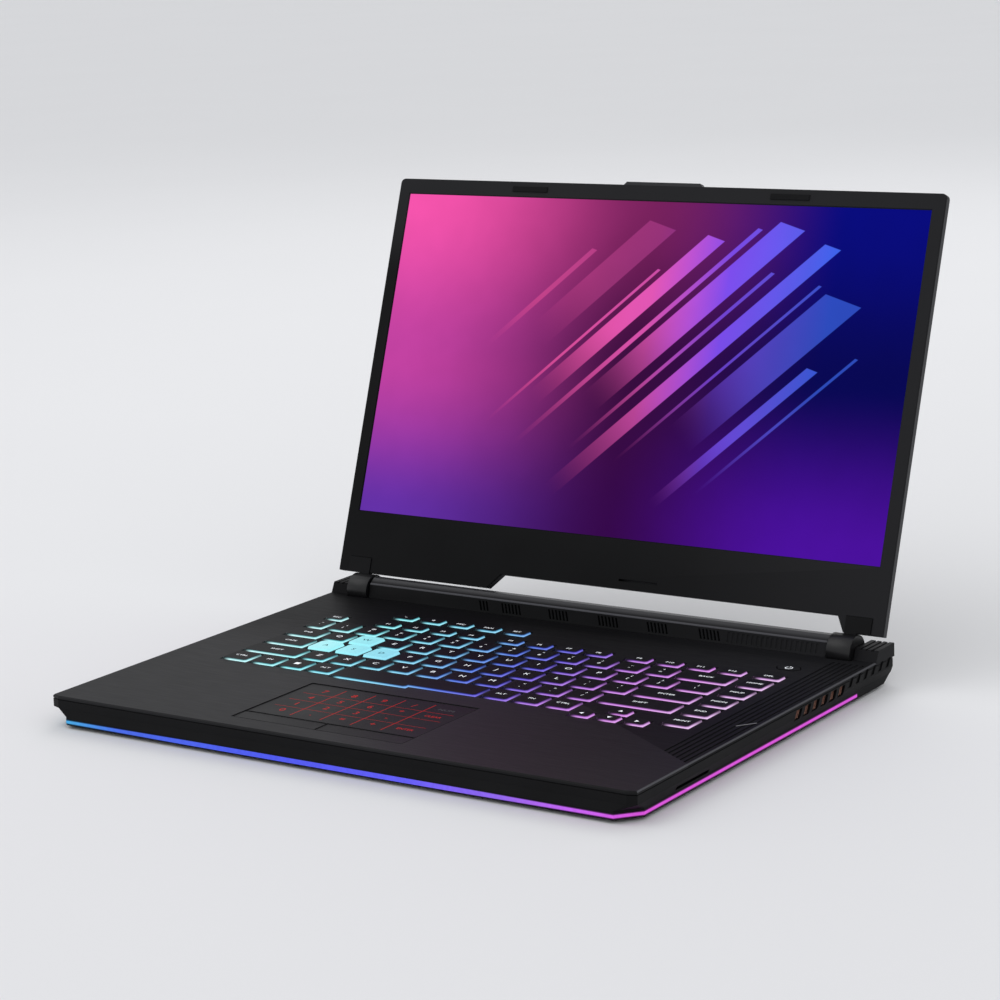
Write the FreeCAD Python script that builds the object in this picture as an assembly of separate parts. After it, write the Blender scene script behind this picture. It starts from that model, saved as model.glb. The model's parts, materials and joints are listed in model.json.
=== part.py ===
import FreeCAD, Part
import math
import os

V = FreeCAD.Vector

# Frame: X to the right, Y from the front edge to the back, Z up from the table, in millimetres.
# The model is built with Y = 0 at the front edge of the deck and moved to its origin at the end.

# Base casing
BODY_WIDTH = 360.0
DECK_DEPTH = 266.0
BASE_THICK = 14.7
FOOT_HEIGHT = 1.8
FLOOR_THICK = 2.0
DECK_THICK = 1.6
BAND_HEIGHT = 6.5
CASE_WALL = 1.8
DECK_EDGE = 0.7
DECK_SEAM_HEIGHT = 0.5
DECK_SEAM_DEPTH = 0.5
DECK_CORNER_X = 5.0
DECK_CORNER_Y = 1.8
REAR_CORNER = 2.0
LIP_STEP = 1.5
LIP_HEIGHT = 4.0
LIP_CORNER_X = 10.0
LIP_CORNER_Y = 11.4
TAIL_CUT_Y = 10.0
TAIL_CUT_Z = 5.9
FIT_GAP = 0.2
FLAT_TWIST = 0.0001
# How far a cutting tool runs past the face that it opens
PAST = 1.0

# Light bar in the lower casing
BAR_HEIGHT = 2.5
BAR_DEPTH = 2.5
BAR_LIFT = 0.6
BAR_PROUD = 0.2
BAR_TAIL = 41.4

# Lid hinge
HINGE_SETBACK = 15.6
HINGE_RISE = 2.5
OPEN_ANGLE = 110.0
KNUCKLE_RADIUS = 9.3
KNUCKLE_MARGIN = 14.0
KNUCKLE_WIDTH = 14.0
KNUCKLE_GAP = 0.45
POCKET_WALL = 1.3
TONGUE_WIDTH = 15.4
TONGUE_OFFSET = 5.3
TONGUE_REACH = 18.6
TONGUE_FRONT = -1.7
TONGUE_BACK = 1.6
PIN_RADIUS = 2.2
PIN_PLAY = 0.05
BOSS_RADIUS = 4.4
BOSS_WIDTH = 7.4
BRACKET_WIDTH = 10.0
BRACKET_LENGTH = 30.0
BRACKET_THICK = 2.0

# Hinge cover bar, as offsets from the hinge axis
COVER_WALL = 1.4
COVER_FRONT = 8.2
COVER_SHOULDER_Y = 5.8
COVER_SHOULDER_Z = 5.5
COVER_CREST_Y = 1.8
COVER_CREST_Z = 8.3
COVER_BACK_Y = 6.6
COVER_ROOF_Z = 3.0
SLIT_WIDTH = 1.1
SLIT_PITCH = 2.3
SLIT_LOW = 1.2
SLIT_HIGH = 6.4
SLIT_LEAN = -1.8
SLIT_COUNT = 6
SLIT_GROUPS = [-48.8, -16.8, 16.2, 48.2, 81.2]
SLIT_SHORT_COUNT = 3
SLIT_SHORT_GROUP = -67.6
FLUTE_START = 91.0
FLUTE_MARGIN = 1.8
FLUTE_PITCH = 3.0
FLUTE_DEPTH = 0.35

# Lid, as reach forward of the hinge axis and height over it while closed
LID_HEEL = 9.6
LID_SETBACK = 0.8
LID_BACK = 4.8
LID_WALL = 1.8
LID_SKIN = 1.4
LID_EDGE = 1.5
LID_CORNER = 3.0
NOTCH_REACH = 18.2
NOTCH_LEFT = -73.0
NOTCH_MARGIN = 24.0
NOTCH_SLANT = 8.6
TAB_LEFT = -23.0
TAB_RIGHT = 29.0
TAB_PROUD = 1.8
BEZEL_FACE = -1.2
BEZEL_THICK = 0.8
BEZEL_INSET = 0.3
BEZEL_BEVEL = 0.6
SCREEN_SIDE_MARGIN = 7.92
CHIN_REACH = 46.61
SCREEN_TOP_MARGIN = 9.4
PANEL_BORDER = 3.0
PANEL_CHIN = 5.4
PANEL_THICK = 1.2
BACKLIGHT_THICK = 2.4
CHIN_SLOT_X = 26.5
CHIN_SLOT_WIDTH = 25.0
CHIN_SLOT_HEIGHT = 1.2
CHIN_SLOT_REACH = 22.6
BUMPER_X = 86.0
BUMPER_WIDTH = 25.0
BUMPER_DEPTH = 3.0
BUMPER_PROUD = 0.7
BUMPER_MARGIN = 3.2
ARM_LENGTH = 52.0
ARM_DEPTH = 19.0

# Keyboard
KEY_LEFT_MARGIN = 36.0
KEY_RIGHT_MARGIN = 50.3
KEY_GAP = 3.5
KEY_PITCH_Y = 18.55
KEY_DEPTH = 15.4
KEY_RISE = 0.9
KEY_SINK = 1.9
KEY_DRAFT = 0.8
KEY_CORNER = 1.3
KEY_CLEARANCE = 0.35
KEY_TRAVEL = 1.4
KEYS_MARGIN = 25.4
SHORT_DEPTH = 9.0
SHORT_GAP = 5.0
HOT_ROW_STEP = 17.5
HOT_KEY_COUNT = 5
ROW_COUNT = 5
DIGIT_COUNT = 12
UPPER_COUNT = 12
HOME_COUNT = 11
LOWER_COUNT = 10
MODS_COUNT = 3
GRAVE_WIDTH = 11.6
BACKSPACE_WIDTH = 30.6
TAB_WIDTH = 21.85
CAPS_WIDTH = 26.55
SHIFT_WIDTH = 36.15
CTRL_WIDTH = 16.5
MODS_GAP = 4.35
SPACE_JUT = 3.0
SPACE_JOG = -18.0
SIDE_GAP = 5.65
FUNCTION_GROUP = 4
FUNCTION_GAPS = [7.5, 6.7]
FUNCTION_END = 1.25
ARROW_WIDTH = 11.4
ARROW_DEPTH = 8.9
ARROW_PITCH = 16.1
ARROW_MARGIN = 22.3
ARROW_DROP = 7.35
ARROW_STEP = 11.3
PLATE_THICK = 1.0
PLATE_MARGIN = 4.0
PLATE_PLAY = 0.4

# Touchpad and power button
PAD_LEFT = -68.0
PAD_RIGHT = 39.0
PAD_FRONT = 12.7
PAD_MARGIN = 17.0
PAD_SPLIT = -15.0
PAD_GAP = 0.3
PAD_RECESS = 0.3
PAD_FLANGE = 3.0
PAD_FLANGE_THICK = 1.0
BUTTON_DEPTH = 11.8
BUTTON_THICK = 1.4
POWER_OFFSET = 0.9
POWER_DROP = 1.9
POWER_WIDTH = 14.6
POWER_DEPTH = 8.0
POWER_TAPER = 2.8
POWER_RISE = 0.3

# Ribs, side vents and rear blocks of the upper casing
RIB_PITCH = 3.4
RIB_GROOVE = 1.5
RIB_DEPTH = 0.5
RIB_MARGIN = 8.15
RIB_EDGE = 0.5
RIB_SETBACK = 30.0
RIB_SLASH_MARGIN = 43.0
RIB_SLASH_Y = 75.0
RIB_SLASH_SLOPE = -0.634
BLOCK_HEIGHT = 5.7
BLOCK_DEPTH = 18.5
BLOCK_SLOPE = 3.0
BLOCK_GROOVES = 3
BLOCK_GROOVE = 1.2
BLOCK_GROOVE_DEPTH = 0.8
VENT_COUNT = 6
VENT_SETBACK = 113.0
VENT_PITCH = 9.4
VENT_WIDTH = 6.2
VENT_TOP = 2.6
VENT_HEIGHT = 5.2
VENT_LEAN = 3.0
FIN_WINDOW_DEPTH = 8.0
SIDE_RIB_COUNT = 6
SIDE_RIB_SETBACK = 54.0
SIDE_RIB_PITCH = 8.6
SIDE_RIB_WIDTH = 3.6
SIDE_RIB_DEPTH = 0.7
SIDE_RIB_MARGIN = 1.0
SPEAKER_SLOT_OFFSET = 16.0
SPEAKER_SLOT_LENGTH = 31.0
SPEAKER_SLOT_HEIGHT = 1.8

# Rear frame with grilles and sockets
FRAME_GAP = 0.55
FRAME_PROUD = 9.0
FRAME_LIFT = 3.2
FRAME_SLOPE = 3.0
FRAME_LOW_EDGE = 1.0
GRILLE_INNER = 68.0
PORT_PLATE_HALF = 62.0
PORT_PLATE_GAP = 0.3
GRILLE_SLOT = 3.4
GRILLE_PITCH = 6.2
GRILLE_END = 1.0
GRILLE_MARGIN = 1.6

# Inner pieces
BOARD_LIFT = 1.6
BOARD_THICK = 1.2
BOARD_FAN_GAP = 0.5
BOARD_DROP = 5.55
BOARD_SETBACK = 16.0
WING_DEPTH = 59.5
WING_GAP = 1.2
STANDOFF_RADIUS = 2.5
CHIP_SIZE = 22.0
CHIP_X = 34.0
CHIP_SETBACK = 66.0
FAN_SIDE_GAP = 13.5
FAN_SETBACK = 65.0
FAN_WIDTH = 65.0
FAN_LENGTH = 71.0
FAN_HEIGHT = 7.2
FAN_SKIN = 0.7
FAN_ROUND = 20.0
FAN_INLET = 20.0
INLET_SIDES = 16
ROUND_STEPS = 4
ROTOR_RADIUS = 27.0
ROTOR_HUB = 11.0
ROTOR_GAP = 0.4
BLADE_COUNT = 13
BLADE_THICK = 0.8
BLADE_LEAN = 24.0
BLADE_ROOT = 1.0
SPINDLE_RADIUS = 1.5
INTAKE_COUNT = 7
INTAKE_WIDTH = 3.0
INTAKE_PITCH = 7.5
INTAKE_LENGTH = 44.0
INTAKE_LEAN = 8.0
FIN_THICK = 0.5
FIN_PITCH = 5.2
FIN_HEIGHT = 8.6
FIN_LOW = 4.2
FIN_DEPTH = 16.0
FIN_BASE = 0.5
FIN_GAP = 2.0
REAR_FIN_COUNT = 9
SIDE_FIN_COUNT = 11
SIDE_FIN_SETBACK = 114.0
SIDE_FIN_DEPTH = 13.0
PIPE_WIDTH = 7.4
PIPE_THICK = 2.4
PIPE_GAP = 1.0
BATTERY_SIDE_GAP = 6.0
BATTERY_FRONT = 14.0
BATTERY_BACK_GAP = 6.0
BATTERY_HEIGHT = 7.2
BATTERY_CELLS = 4
SEAM_WIDTH = 1.2
SEAM_DEPTH = 1.2
CARD_LIFT = 1.2
CARD_THICK = 1.0
CARD_CHIP_RISE = 1.0
CARD_CHIP_GAP = 5.0
CARD_CHIP_START = 11.0
CARD_CHIP_END = 3.0
CONNECTOR_DEPTH = 4.0
CONNECTOR_RISE = 0.8
MEMORY_LEFT = -62.0
CARD_SETBACK = 6.0
MEMORY_WIDTH = 67.6
MEMORY_DEPTH = 28.0
MEMORY_PITCH = 33.0
MEMORY_COUNT = 2
MEMORY_CHIPS = 4
STORAGE_LEFT = 30.0
STORAGE_WIDTH = 80.0
STORAGE_DEPTH = 22.0
STORAGE_CHIPS = 3
WIRELESS_LEFT = 105.0
WIRELESS_SETBACK = 34.0
WIRELESS_WIDTH = 30.0
WIRELESS_DEPTH = 22.0
WIRELESS_CHIPS = 2
SPEAKER_GAP = 4.2
SPEAKER_WIDTH = 42.0
SPEAKER_FRONT = 22.0
SPEAKER_BACK_GAP = 8.0
SPEAKER_HEIGHT = 7.0
SPEAKER_CONE = 15.0
SPEAKER_RECESS = 1.5
SCREW_SIDE = 13.0
SCREW_FRONT = 16.0
SCREW_BOARD_GAP = 4.0
SCREW_SETBACK = 44.0
SCREW_LIP_X = 85.0
SCREW_LIP_Y = 8.5
SCREW_HEAD = 2.6
SCREW_HEAD_HEIGHT = 1.1
SCREW_SHANK = 1.1
SCREW_LENGTH = 6.0
SCREW_BOSS = 3.0
HEAD_SIDES = 8
BOSS_SIDES = 6
SHANK_SIDES = 6
FOOT_LONG = 70.0
FOOT_WIDE = 9.0
FOOT_TAPER = 0.8
FOOT_X = 105.0
FOOT_FRONT = 22.0
FOOT_SETBACK = 20.0

# Sockets
USB_WIDTH = 13.2
USB_HEIGHT = 5.8
USB_LENGTH = 14.0
USB_SHELL = 0.4
USB_BACK = 2.0
USB_TONGUE_SETBACK = 1.5
USB_TONGUE_SIDE = 1.0
USB_TONGUE_THICK = 1.8
USB_TONGUE_GAP = 0.4
USB_SETBACK = 20.0
USB_PITCH = 17.0
USB_COUNT = 3
SOCKET_SETBACK = 2.0
JACK_RADIUS = 1.8
JACK_BODY = 6.4
JACK_LENGTH = 12.5
JACK_DEPTH = 11.0
JACK_SETBACK = 7.5
REAR_SETBACK = 1.2
REAR_ON_BOARD = 6.0
REAR_BACK = 5.0
REAR_TONGUE_SETBACK = 1.2
REAR_TONGUE_SIDE = 1.2
REAR_TONGUE_THICK = 0.8
NETWORK_X = -42.0
NETWORK_WIDTH = 14.4
NETWORK_HEIGHT = 7.9
NETWORK_WALL = 0.6
HDMI_X = -16.0
HDMI_WIDTH = 15.2
HDMI_HEIGHT = 5.6
TYPE_C_X = 10.0
TYPE_C_WIDTH = 9.2
TYPE_C_HEIGHT = 3.4
POWER_IN_X = 36.0
POWER_IN_SIZE = 7.6
POWER_IN_BORE = 2.8
POWER_IN_PIN = 0.9
POWER_IN_BACK = 14.0
POWER_IN_PIN_SETBACK = 1.0
SOCKET_WALL = 0.45

# Levels and places worked out from the sizes above
HALF = BODY_WIDTH / 2.0
FLOOR = FOOT_HEIGHT
INSIDE = FLOOR + FLOOR_THICK
DECK = FLOOR + BASE_THICK
DECK_UNDER = DECK - DECK_THICK
BAND = DECK - BAND_HEIGHT
LIP = BAND - LIP_HEIGHT
BAR_LOW = FLOOR + BAR_LIFT
BAR_HIGH = BAR_LOW + BAR_HEIGHT
BAR_END = DECK_DEPTH - BAR_TAIL
INNER_HALF = HALF - LIP_STEP - BAR_DEPTH - CASE_WALL
AXIS_Y = DECK_DEPTH - HINGE_SETBACK
AXIS_Z = DECK + HINGE_RISE
KNUCKLE_OUTER_X = HALF - KNUCKLE_MARGIN
KNUCKLE_INNER_X = KNUCKLE_OUTER_X - KNUCKLE_WIDTH
POCKET_RADIUS = KNUCKLE_RADIUS + KNUCKLE_GAP
POCKET_INNER = KNUCKLE_INNER_X - KNUCKLE_GAP
POCKET_OUTER = KNUCKLE_OUTER_X + KNUCKLE_GAP
COVER_END = POCKET_INNER - KNUCKLE_GAP
FLUTE_END = COVER_END - FLUTE_MARGIN
NOTCH_RIGHT = HALF - NOTCH_MARGIN
LID_TOP = AXIS_Y - LID_SETBACK
BEZEL_BACK = BEZEL_FACE + BEZEL_THICK
LID_INSIDE = LID_BACK - LID_SKIN
SCREEN_HALF = HALF - SCREEN_SIDE_MARGIN
SCREEN_TOP = LID_TOP - SCREEN_TOP_MARGIN
KEY_LEFT = KEY_LEFT_MARGIN - HALF
KEY_RIGHT = HALF - KEY_RIGHT_MARGIN
KEY_PITCH_X = (KEY_RIGHT - KEY_LEFT - GRAVE_WIDTH - KEY_GAP - BACKSPACE_WIDTH) / DIGIT_COUNT
KEY_WIDTH = KEY_PITCH_X - KEY_GAP
SHORT_WIDTH = KEY_PITCH_X - SHORT_GAP
KEYS_BACK = AXIS_Y - COVER_FRONT - KEYS_MARGIN
HOT_ROW = KEYS_BACK - SHORT_DEPTH
FUNCTION_ROW = HOT_ROW - HOT_ROW_STEP
ROW_FRONT = FUNCTION_ROW - ROW_COUNT * KEY_PITCH_Y
FUNCTION_THIRD = KEY_RIGHT - FUNCTION_END - SHORT_WIDTH - (FUNCTION_GROUP - 1) * KEY_PITCH_X
FUNCTION_SECOND = FUNCTION_THIRD - FUNCTION_GROUP * KEY_PITCH_X - FUNCTION_GAPS[1]
FUNCTION_FIRST = FUNCTION_SECOND - FUNCTION_GROUP * KEY_PITCH_X - FUNCTION_GAPS[0]
FUNCTION_STARTS = [FUNCTION_FIRST, FUNCTION_SECOND, FUNCTION_THIRD]
SIDE_KEY_LEFT = KEY_RIGHT + SIDE_GAP
SIDE_COLUMN_X = SIDE_KEY_LEFT + KEY_WIDTH / 2.0
ARROW_MIDDLE = KEY_RIGHT - ARROW_MARGIN
ARROW_FRONT = ROW_FRONT - ARROW_DROP
SPACE_RIGHT = ARROW_MIDDLE - ARROW_PITCH - ARROW_WIDTH / 2.0 - MODS_GAP - MODS_COUNT * KEY_PITCH_X
KEY_FOOT = DECK - KEY_SINK
PLATE_TOP = KEY_FOOT - KEY_TRAVEL - PLATE_PLAY
PLATE_LOW = PLATE_TOP - PLATE_THICK
PAD_TOP = DECK - PAD_RECESS
PAD_BACK = ROW_FRONT - PAD_MARGIN
POWER_X = SIDE_COLUMN_X + POWER_OFFSET
POWER_Y = KEYS_BACK - POWER_DROP
RIB_FIRST = SIDE_KEY_LEFT + KEY_WIDTH + RIB_MARGIN
RIB_COUNT = int((HALF - RIB_EDGE - RIB_FIRST) / RIB_PITCH)
RIB_END = DECK_DEPTH - RIB_SETBACK
RIB_SLASH_X = HALF - RIB_SLASH_MARGIN
VENT_FIRST = DECK_DEPTH - VENT_SETBACK
SIDE_RIB_FIRST = DECK_DEPTH - SIDE_RIB_SETBACK
BOARD_LOW = INSIDE + BOARD_LIFT
BOARD_TOP = BOARD_LOW + BOARD_THICK
BOARD_FRONT = ROW_FRONT - BOARD_DROP
BOARD_BACK = DECK_DEPTH - BOARD_SETBACK
WING_BACK = BOARD_FRONT + WING_DEPTH
WING_REACH = INNER_HALF - WING_GAP
FAN_TOP = INSIDE + FAN_HEIGHT
FAN_X = INNER_HALF - FIT_GAP - SIDE_FIN_DEPTH - FAN_SIDE_GAP - FAN_WIDTH / 2.0
FAN_Y = DECK_DEPTH - FAN_SETBACK
BOARD_HALF = FAN_X - FAN_WIDTH / 2.0 - BOARD_FAN_GAP
CHIP_Y = DECK_DEPTH - CHIP_SETBACK
FIN_FRONT = FAN_Y + FAN_LENGTH / 2.0 + FIN_GAP
SIDE_FIN_FIRST = DECK_DEPTH - SIDE_FIN_SETBACK
SPEAKER_INNER = INNER_HALF - SPEAKER_GAP - SPEAKER_WIDTH
SPEAKER_DEPTH = BOARD_FRONT - SPEAKER_BACK_GAP - SPEAKER_FRONT
SPEAKER_SLOT_FIRST = SPEAKER_FRONT + SPEAKER_SLOT_OFFSET
BATTERY_HALF = SPEAKER_INNER - BATTERY_SIDE_GAP
BATTERY_BACK = BOARD_FRONT - BATTERY_BACK_GAP
CARD_FRONT = BOARD_FRONT + CARD_SETBACK
WIRELESS_FRONT = BOARD_FRONT + WIRELESS_SETBACK
SCREW_SPOTS = [(HALF - SCREW_SIDE, SCREW_FRONT), (HALF - SCREW_SIDE, BOARD_FRONT - SCREW_BOARD_GAP),
               (HALF - SCREW_SIDE, DECK_DEPTH - SCREW_SETBACK), (SCREW_LIP_X, SCREW_LIP_Y)]
SCREW_TIP = FLOOR + SCREW_HEAD_HEIGHT + SCREW_LENGTH
FOOT_BACK = DECK_DEPTH - FOOT_SETBACK
USB_FIRST = BOARD_FRONT + USB_SETBACK
JACK_Y = BOARD_FRONT + JACK_SETBACK
FRAME_HALF = POCKET_INNER - POCKET_WALL - FRAME_GAP
FRAME_LOW = FLOOR + FRAME_LIFT
FRAME_FRONT = DECK_DEPTH - BAR_DEPTH - CASE_WALL
FRAME_BACK = DECK_DEPTH + FRAME_PROUD
GRILLE_COUNT = int((FRAME_HALF - GRILLE_END - GRILLE_INNER) / GRILLE_PITCH)
SOCKET_MOUTH = FRAME_BACK - REAR_SETBACK
SOCKET_FRONT = BOARD_BACK - REAR_ON_BOARD


# Shape helpers
def face_of(corners):
    return Part.Face(Part.makePolygon(corners + corners[:1]))


def box(x0, x1, y0, y1, z0, z1):
    return Part.makeBox(x1 - x0, y1 - y0, z1 - z0, V(x0, y0, z0))


def prism(points, z0, z1):
    """Plan outline of (x, y) points, raised from z0 to z1."""
    return face_of([V(x, y, z0) for x, y in points]).extrude(V(0, 0, z1 - z0))


def prism_x(points, x0, x1):
    """Side outline of (y, z) points, drawn out along X."""
    return face_of([V(x0, y, z) for y, z in points]).extrude(V(x1 - x0, 0, 0))


def prism_y(points, y0, y1):
    """Front outline of (x, z) points, drawn out along Y."""
    return face_of([V(x, y0, z) for x, z in points]).extrude(V(0, y1 - y0, 0))


def loft(low, high, z0, z1):
    """Flat-faced body between two plan outlines with as many points."""
    below = [V(x, y, z0) for x, y in low]
    above = [V(x, y, z1) for x, y in high]
    faces = [face_of(below), face_of(above)]
    for i, corner in enumerate(below):
        j = (i + 1) % len(below)
        twist = (below[j] - corner).cross(above[i] - corner).dot(above[j] - corner)
        if abs(twist) < FLAT_TWIST:
            faces.append(face_of([corner, below[j], above[j], above[i]]))
        else:
            faces.append(face_of([corner, below[j], above[j]]))
            faces.append(face_of([corner, above[j], above[i]]))
    body = Part.makeSolid(Part.makeShell(faces))
    return body if body.Volume > 0 else body.reversed()


def rod_x(y, z, radius, x0, x1):
    return Part.makeCylinder(radius, x1 - x0, V(x0, y, z), V(1, 0, 0))


def rod_z(x, y, radius, z0, z1):
    return Part.makeCylinder(radius, z1 - z0, V(x, y, z0), V(0, 0, 1))


def ring(x, y, radius, sides):
    """Corners of a regular outline about (x, y)."""
    turns = [2.0 * math.pi * (i + 0.5) / sides for i in range(sides)]
    return [(x + radius * math.cos(turn), y + radius * math.sin(turn)) for turn in turns]


def post(x, y, radius, z0, z1, sides):
    """Upright faceted pin."""
    return prism(ring(x, y, radius, sides), z0, z1)


def fuse(shapes):
    return shapes[0].multiFuse(shapes[1:]).removeSplitter() if len(shapes) > 1 else shapes[0]


def cut(body, tools):
    return body.cut(Part.makeCompound(tools))


def mirrored(shape):
    return shape.mirror(V(0, 0, 0), V(1, 0, 0))


def pair(shape):
    return [shape, mirrored(shape)]


def rectangle(x0, x1, y0, y1, grow=0.0):
    return [(x0 - grow, y0 - grow), (x1 + grow, y0 - grow), (x1 + grow, y1 + grow), (x0 - grow, y1 + grow)]


def leaning(start, width, z0, z1, lean):
    """Four corners of a leaning slot: level sides, ends that slope by lean."""
    return [(start, z0), (start + width, z0), (start + width + lean, z1), (start + lean, z1)]


def band(points, width, z0, z1):
    """Flat bar of constant width along a bent centre line, with mitred bends."""
    left = []
    right = []
    for i, (x, y) in enumerate(points):
        before = points[max(i - 1, 0)]
        after = points[min(i + 1, len(points) - 1)]
        into = math.atan2(y - before[1], x - before[0])
        out = math.atan2(after[1] - y, after[0] - x)
        if i == 0:
            into = out
        if i == len(points) - 1:
            out = into
        middle = (into + out) / 2.0
        reach = width / 2.0 / math.cos((out - into) / 2.0)
        left.append((x - reach * math.sin(middle), y + reach * math.cos(middle)))
        right.append((x + reach * math.sin(middle), y - reach * math.cos(middle)))
    return prism(left + right[::-1], z0, z1)


def upright_edges(body, spots):
    """Edges along Z that stand at the given plan points."""
    found = []
    for edge in body.Edges:
        ends = [vertex.Point for vertex in edge.Vertexes]
        if len(ends) != 2 or abs(ends[0].x - ends[1].x) + abs(ends[0].y - ends[1].y) > 0.001:
            continue
        if any(abs(ends[0].x - x) + abs(ends[0].y - y) < 0.01 for x, y in spots):
            found.append(edge)
    return found


def edges_at(body, z):
    return [e for e in body.Edges if all(abs(v.Point.z - z) < 0.001 for v in e.Vertexes)]


# Base casing outlines
def case_outline(half, front, back, corner_x, corner_y, rear):
    right = [(half - corner_x, front), (half, front + corner_y), (half, back - rear), (half - rear, back)]
    left = [(-x, y) for x, y in right[::-1]]
    return right + left


def deck_outline(inset=0.0):
    return case_outline(HALF - inset, inset, DECK_DEPTH - inset, DECK_CORNER_X, DECK_CORNER_Y, REAR_CORNER)


def lip_outline(inset=0.0):
    return case_outline(HALF - LIP_STEP - inset, inset - LIP_STEP, DECK_DEPTH - inset,
                        LIP_CORNER_X, LIP_CORNER_Y, REAR_CORNER)


# Keyboard layout: each key is its box (x0, x1, y0, y1) where it passes the deck's top face
def standard_row(first_left, count, front):
    lefts = [first_left + KEY_PITCH_X * i for i in range(count)]
    return [(x, x + KEY_WIDTH, front, front + KEY_DEPTH) for x in lefts]


def letter_row(number, first_width, count):
    """First wide key, the standard keys, and a last key that ends at the right margin."""
    front = ROW_FRONT + number * KEY_PITCH_Y
    back = front + KEY_DEPTH
    first = (KEY_LEFT, KEY_LEFT + first_width, front, back)
    middle = standard_row(first[1] + KEY_GAP, count, front)
    last = (middle[-1][1] + KEY_GAP, KEY_RIGHT, front, back)
    return first, middle, last


def short_keys(first_left, width, count, front):
    lefts = [first_left + KEY_PITCH_X * i for i in range(count)]
    return [(x, x + width, front, front + SHORT_DEPTH) for x in lefts]


def arrow_key(column, row):
    x0 = ARROW_MIDDLE + column * ARROW_PITCH - ARROW_WIDTH / 2.0
    y0 = ARROW_FRONT + row * ARROW_STEP
    return (x0, x0 + ARROW_WIDTH, y0, y0 + ARROW_DEPTH)


def key_layout():
    grave, digits, backspace = letter_row(4, GRAVE_WIDTH, DIGIT_COUNT)
    tab, upper, backslash = letter_row(3, TAB_WIDTH, UPPER_COUNT)
    caps, home, enter = letter_row(2, CAPS_WIDTH, HOME_COUNT)
    left_shift, lower, right_shift = letter_row(1, SHIFT_WIDTH, LOWER_COUNT)
    front, back = ROW_FRONT, ROW_FRONT + KEY_DEPTH
    ctrl = (KEY_LEFT, KEY_LEFT + CTRL_WIDTH, front, back)
    left_mods = standard_row(ctrl[1] + KEY_GAP, MODS_COUNT, front)
    right_mods = standard_row(SPACE_RIGHT + KEY_GAP, MODS_COUNT, front)
    space = (left_mods[-1][1] + KEY_GAP, SPACE_RIGHT, front, back)
    functions = short_keys(KEY_LEFT, GRAVE_WIDTH, 1, FUNCTION_ROW)
    for start in FUNCTION_STARTS:
        functions += short_keys(start, SHORT_WIDTH, FUNCTION_GROUP, FUNCTION_ROW)
    side_rows = [ROW_FRONT + KEY_PITCH_Y * i for i in range(ROW_COUNT)]
    side = [(SIDE_KEY_LEFT, SIDE_KEY_LEFT + KEY_WIDTH, y, y + KEY_DEPTH) for y in side_rows]
    return {
        "hot_keys": short_keys(FUNCTION_STARTS[0], SHORT_WIDTH, HOT_KEY_COUNT, HOT_ROW),
        "function_keys": functions,
        "number_row_keys": [grave] + digits + [backspace],
        "upper_row_keys": [tab] + upper[:1] + upper[2:] + [backslash],
        "w_key": upper[1:2],
        "home_row_keys": [caps] + home[3:],
        "a_key": home[0:1],
        "s_key": home[1:2],
        "d_key": home[2:3],
        "enter_key": [enter],
        "lower_row_keys": lower,
        "shift_keys": [left_shift, right_shift],
        "bottom_row_keys": [ctrl] + left_mods + right_mods,
        "space_bar": [space],
        "side_column_keys": side + short_keys(SIDE_KEY_LEFT, KEY_WIDTH, 1, FUNCTION_ROW),
        "up_arrow_key": [arrow_key(0, 1)],
        "down_arrow_key": [arrow_key(0, 0)],
        "left_arrow_key": [arrow_key(-1, 0)],
        "right_arrow_key": [arrow_key(1, 0)],
    }


def key_outline(x0, x1, y0, y1, grow):
    """Rectangle with cut corners."""
    x0, x1, y0, y1 = x0 - grow, x1 + grow, y0 - grow, y1 + grow
    c = KEY_CORNER
    return [(x0 + c, y0), (x1 - c, y0), (x1, y0 + c), (x1, y1 - c),
            (x1 - c, y1), (x0 + c, y1), (x0, y1 - c), (x0, y0 + c)]


FOOT_GROW = KEY_DRAFT * KEY_SINK / (KEY_SINK + KEY_RISE)
TOP_GROW = FOOT_GROW - KEY_DRAFT


def key_cap(x0, x1, y0, y1):
    foot = key_outline(x0, x1, y0, y1, FOOT_GROW)
    top = key_outline(x0, x1, y0, y1, TOP_GROW)
    return loft(foot, top, KEY_FOOT, DECK + KEY_RISE)


def key_hole(x0, x1, y0, y1):
    return prism(rectangle(x0, x1, y0, y1, FOOT_GROW + KEY_CLEARANCE), DECK_UNDER - PAST, DECK + PAST)


def space_parts(space):
    """The bar and its left half, whose front edge stands forward of the row."""
    x0, x1, y0, y1 = space
    return [space, (x0, SPACE_JOG, y0 - SPACE_JUT, y1)]


LAYOUT = key_layout()


def make_keys():
    keys = {}
    for name, places in LAYOUT.items():
        keys[name] = [key_cap(*place) for place in places]
    keys["space_bar"] = [fuse([key_cap(*place) for place in space_parts(LAYOUT["space_bar"][0])])]
    return keys


def keyboard_plate():
    """Tray under the keys whose rim reaches up to the underside of the deck."""
    outer = rectangle(KEY_LEFT, SIDE_KEY_LEFT + KEY_WIDTH, ARROW_FRONT, HOT_ROW + SHORT_DEPTH, PLATE_MARGIN)
    inner = rectangle(KEY_LEFT, SIDE_KEY_LEFT + KEY_WIDTH, ARROW_FRONT, HOT_ROW + SHORT_DEPTH,
                      PLATE_MARGIN - PLATE_THICK)
    return prism(outer, PLATE_LOW, DECK_UNDER).cut(prism(inner, PLATE_TOP, DECK))


# Power button
def power_outline(grow):
    x = POWER_WIDTH / 2.0 + grow
    y = POWER_DEPTH / 2.0 + grow
    flat = x - POWER_TAPER
    ring = [(-x, 0.0), (-flat, -y), (flat, -y), (x, 0.0), (flat, y), (-flat, y)]
    return [(POWER_X + px, POWER_Y + py) for px, py in ring]


def power_button():
    return loft(power_outline(0.0), power_outline(-POWER_RISE), KEY_FOOT, DECK + POWER_RISE)


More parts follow.
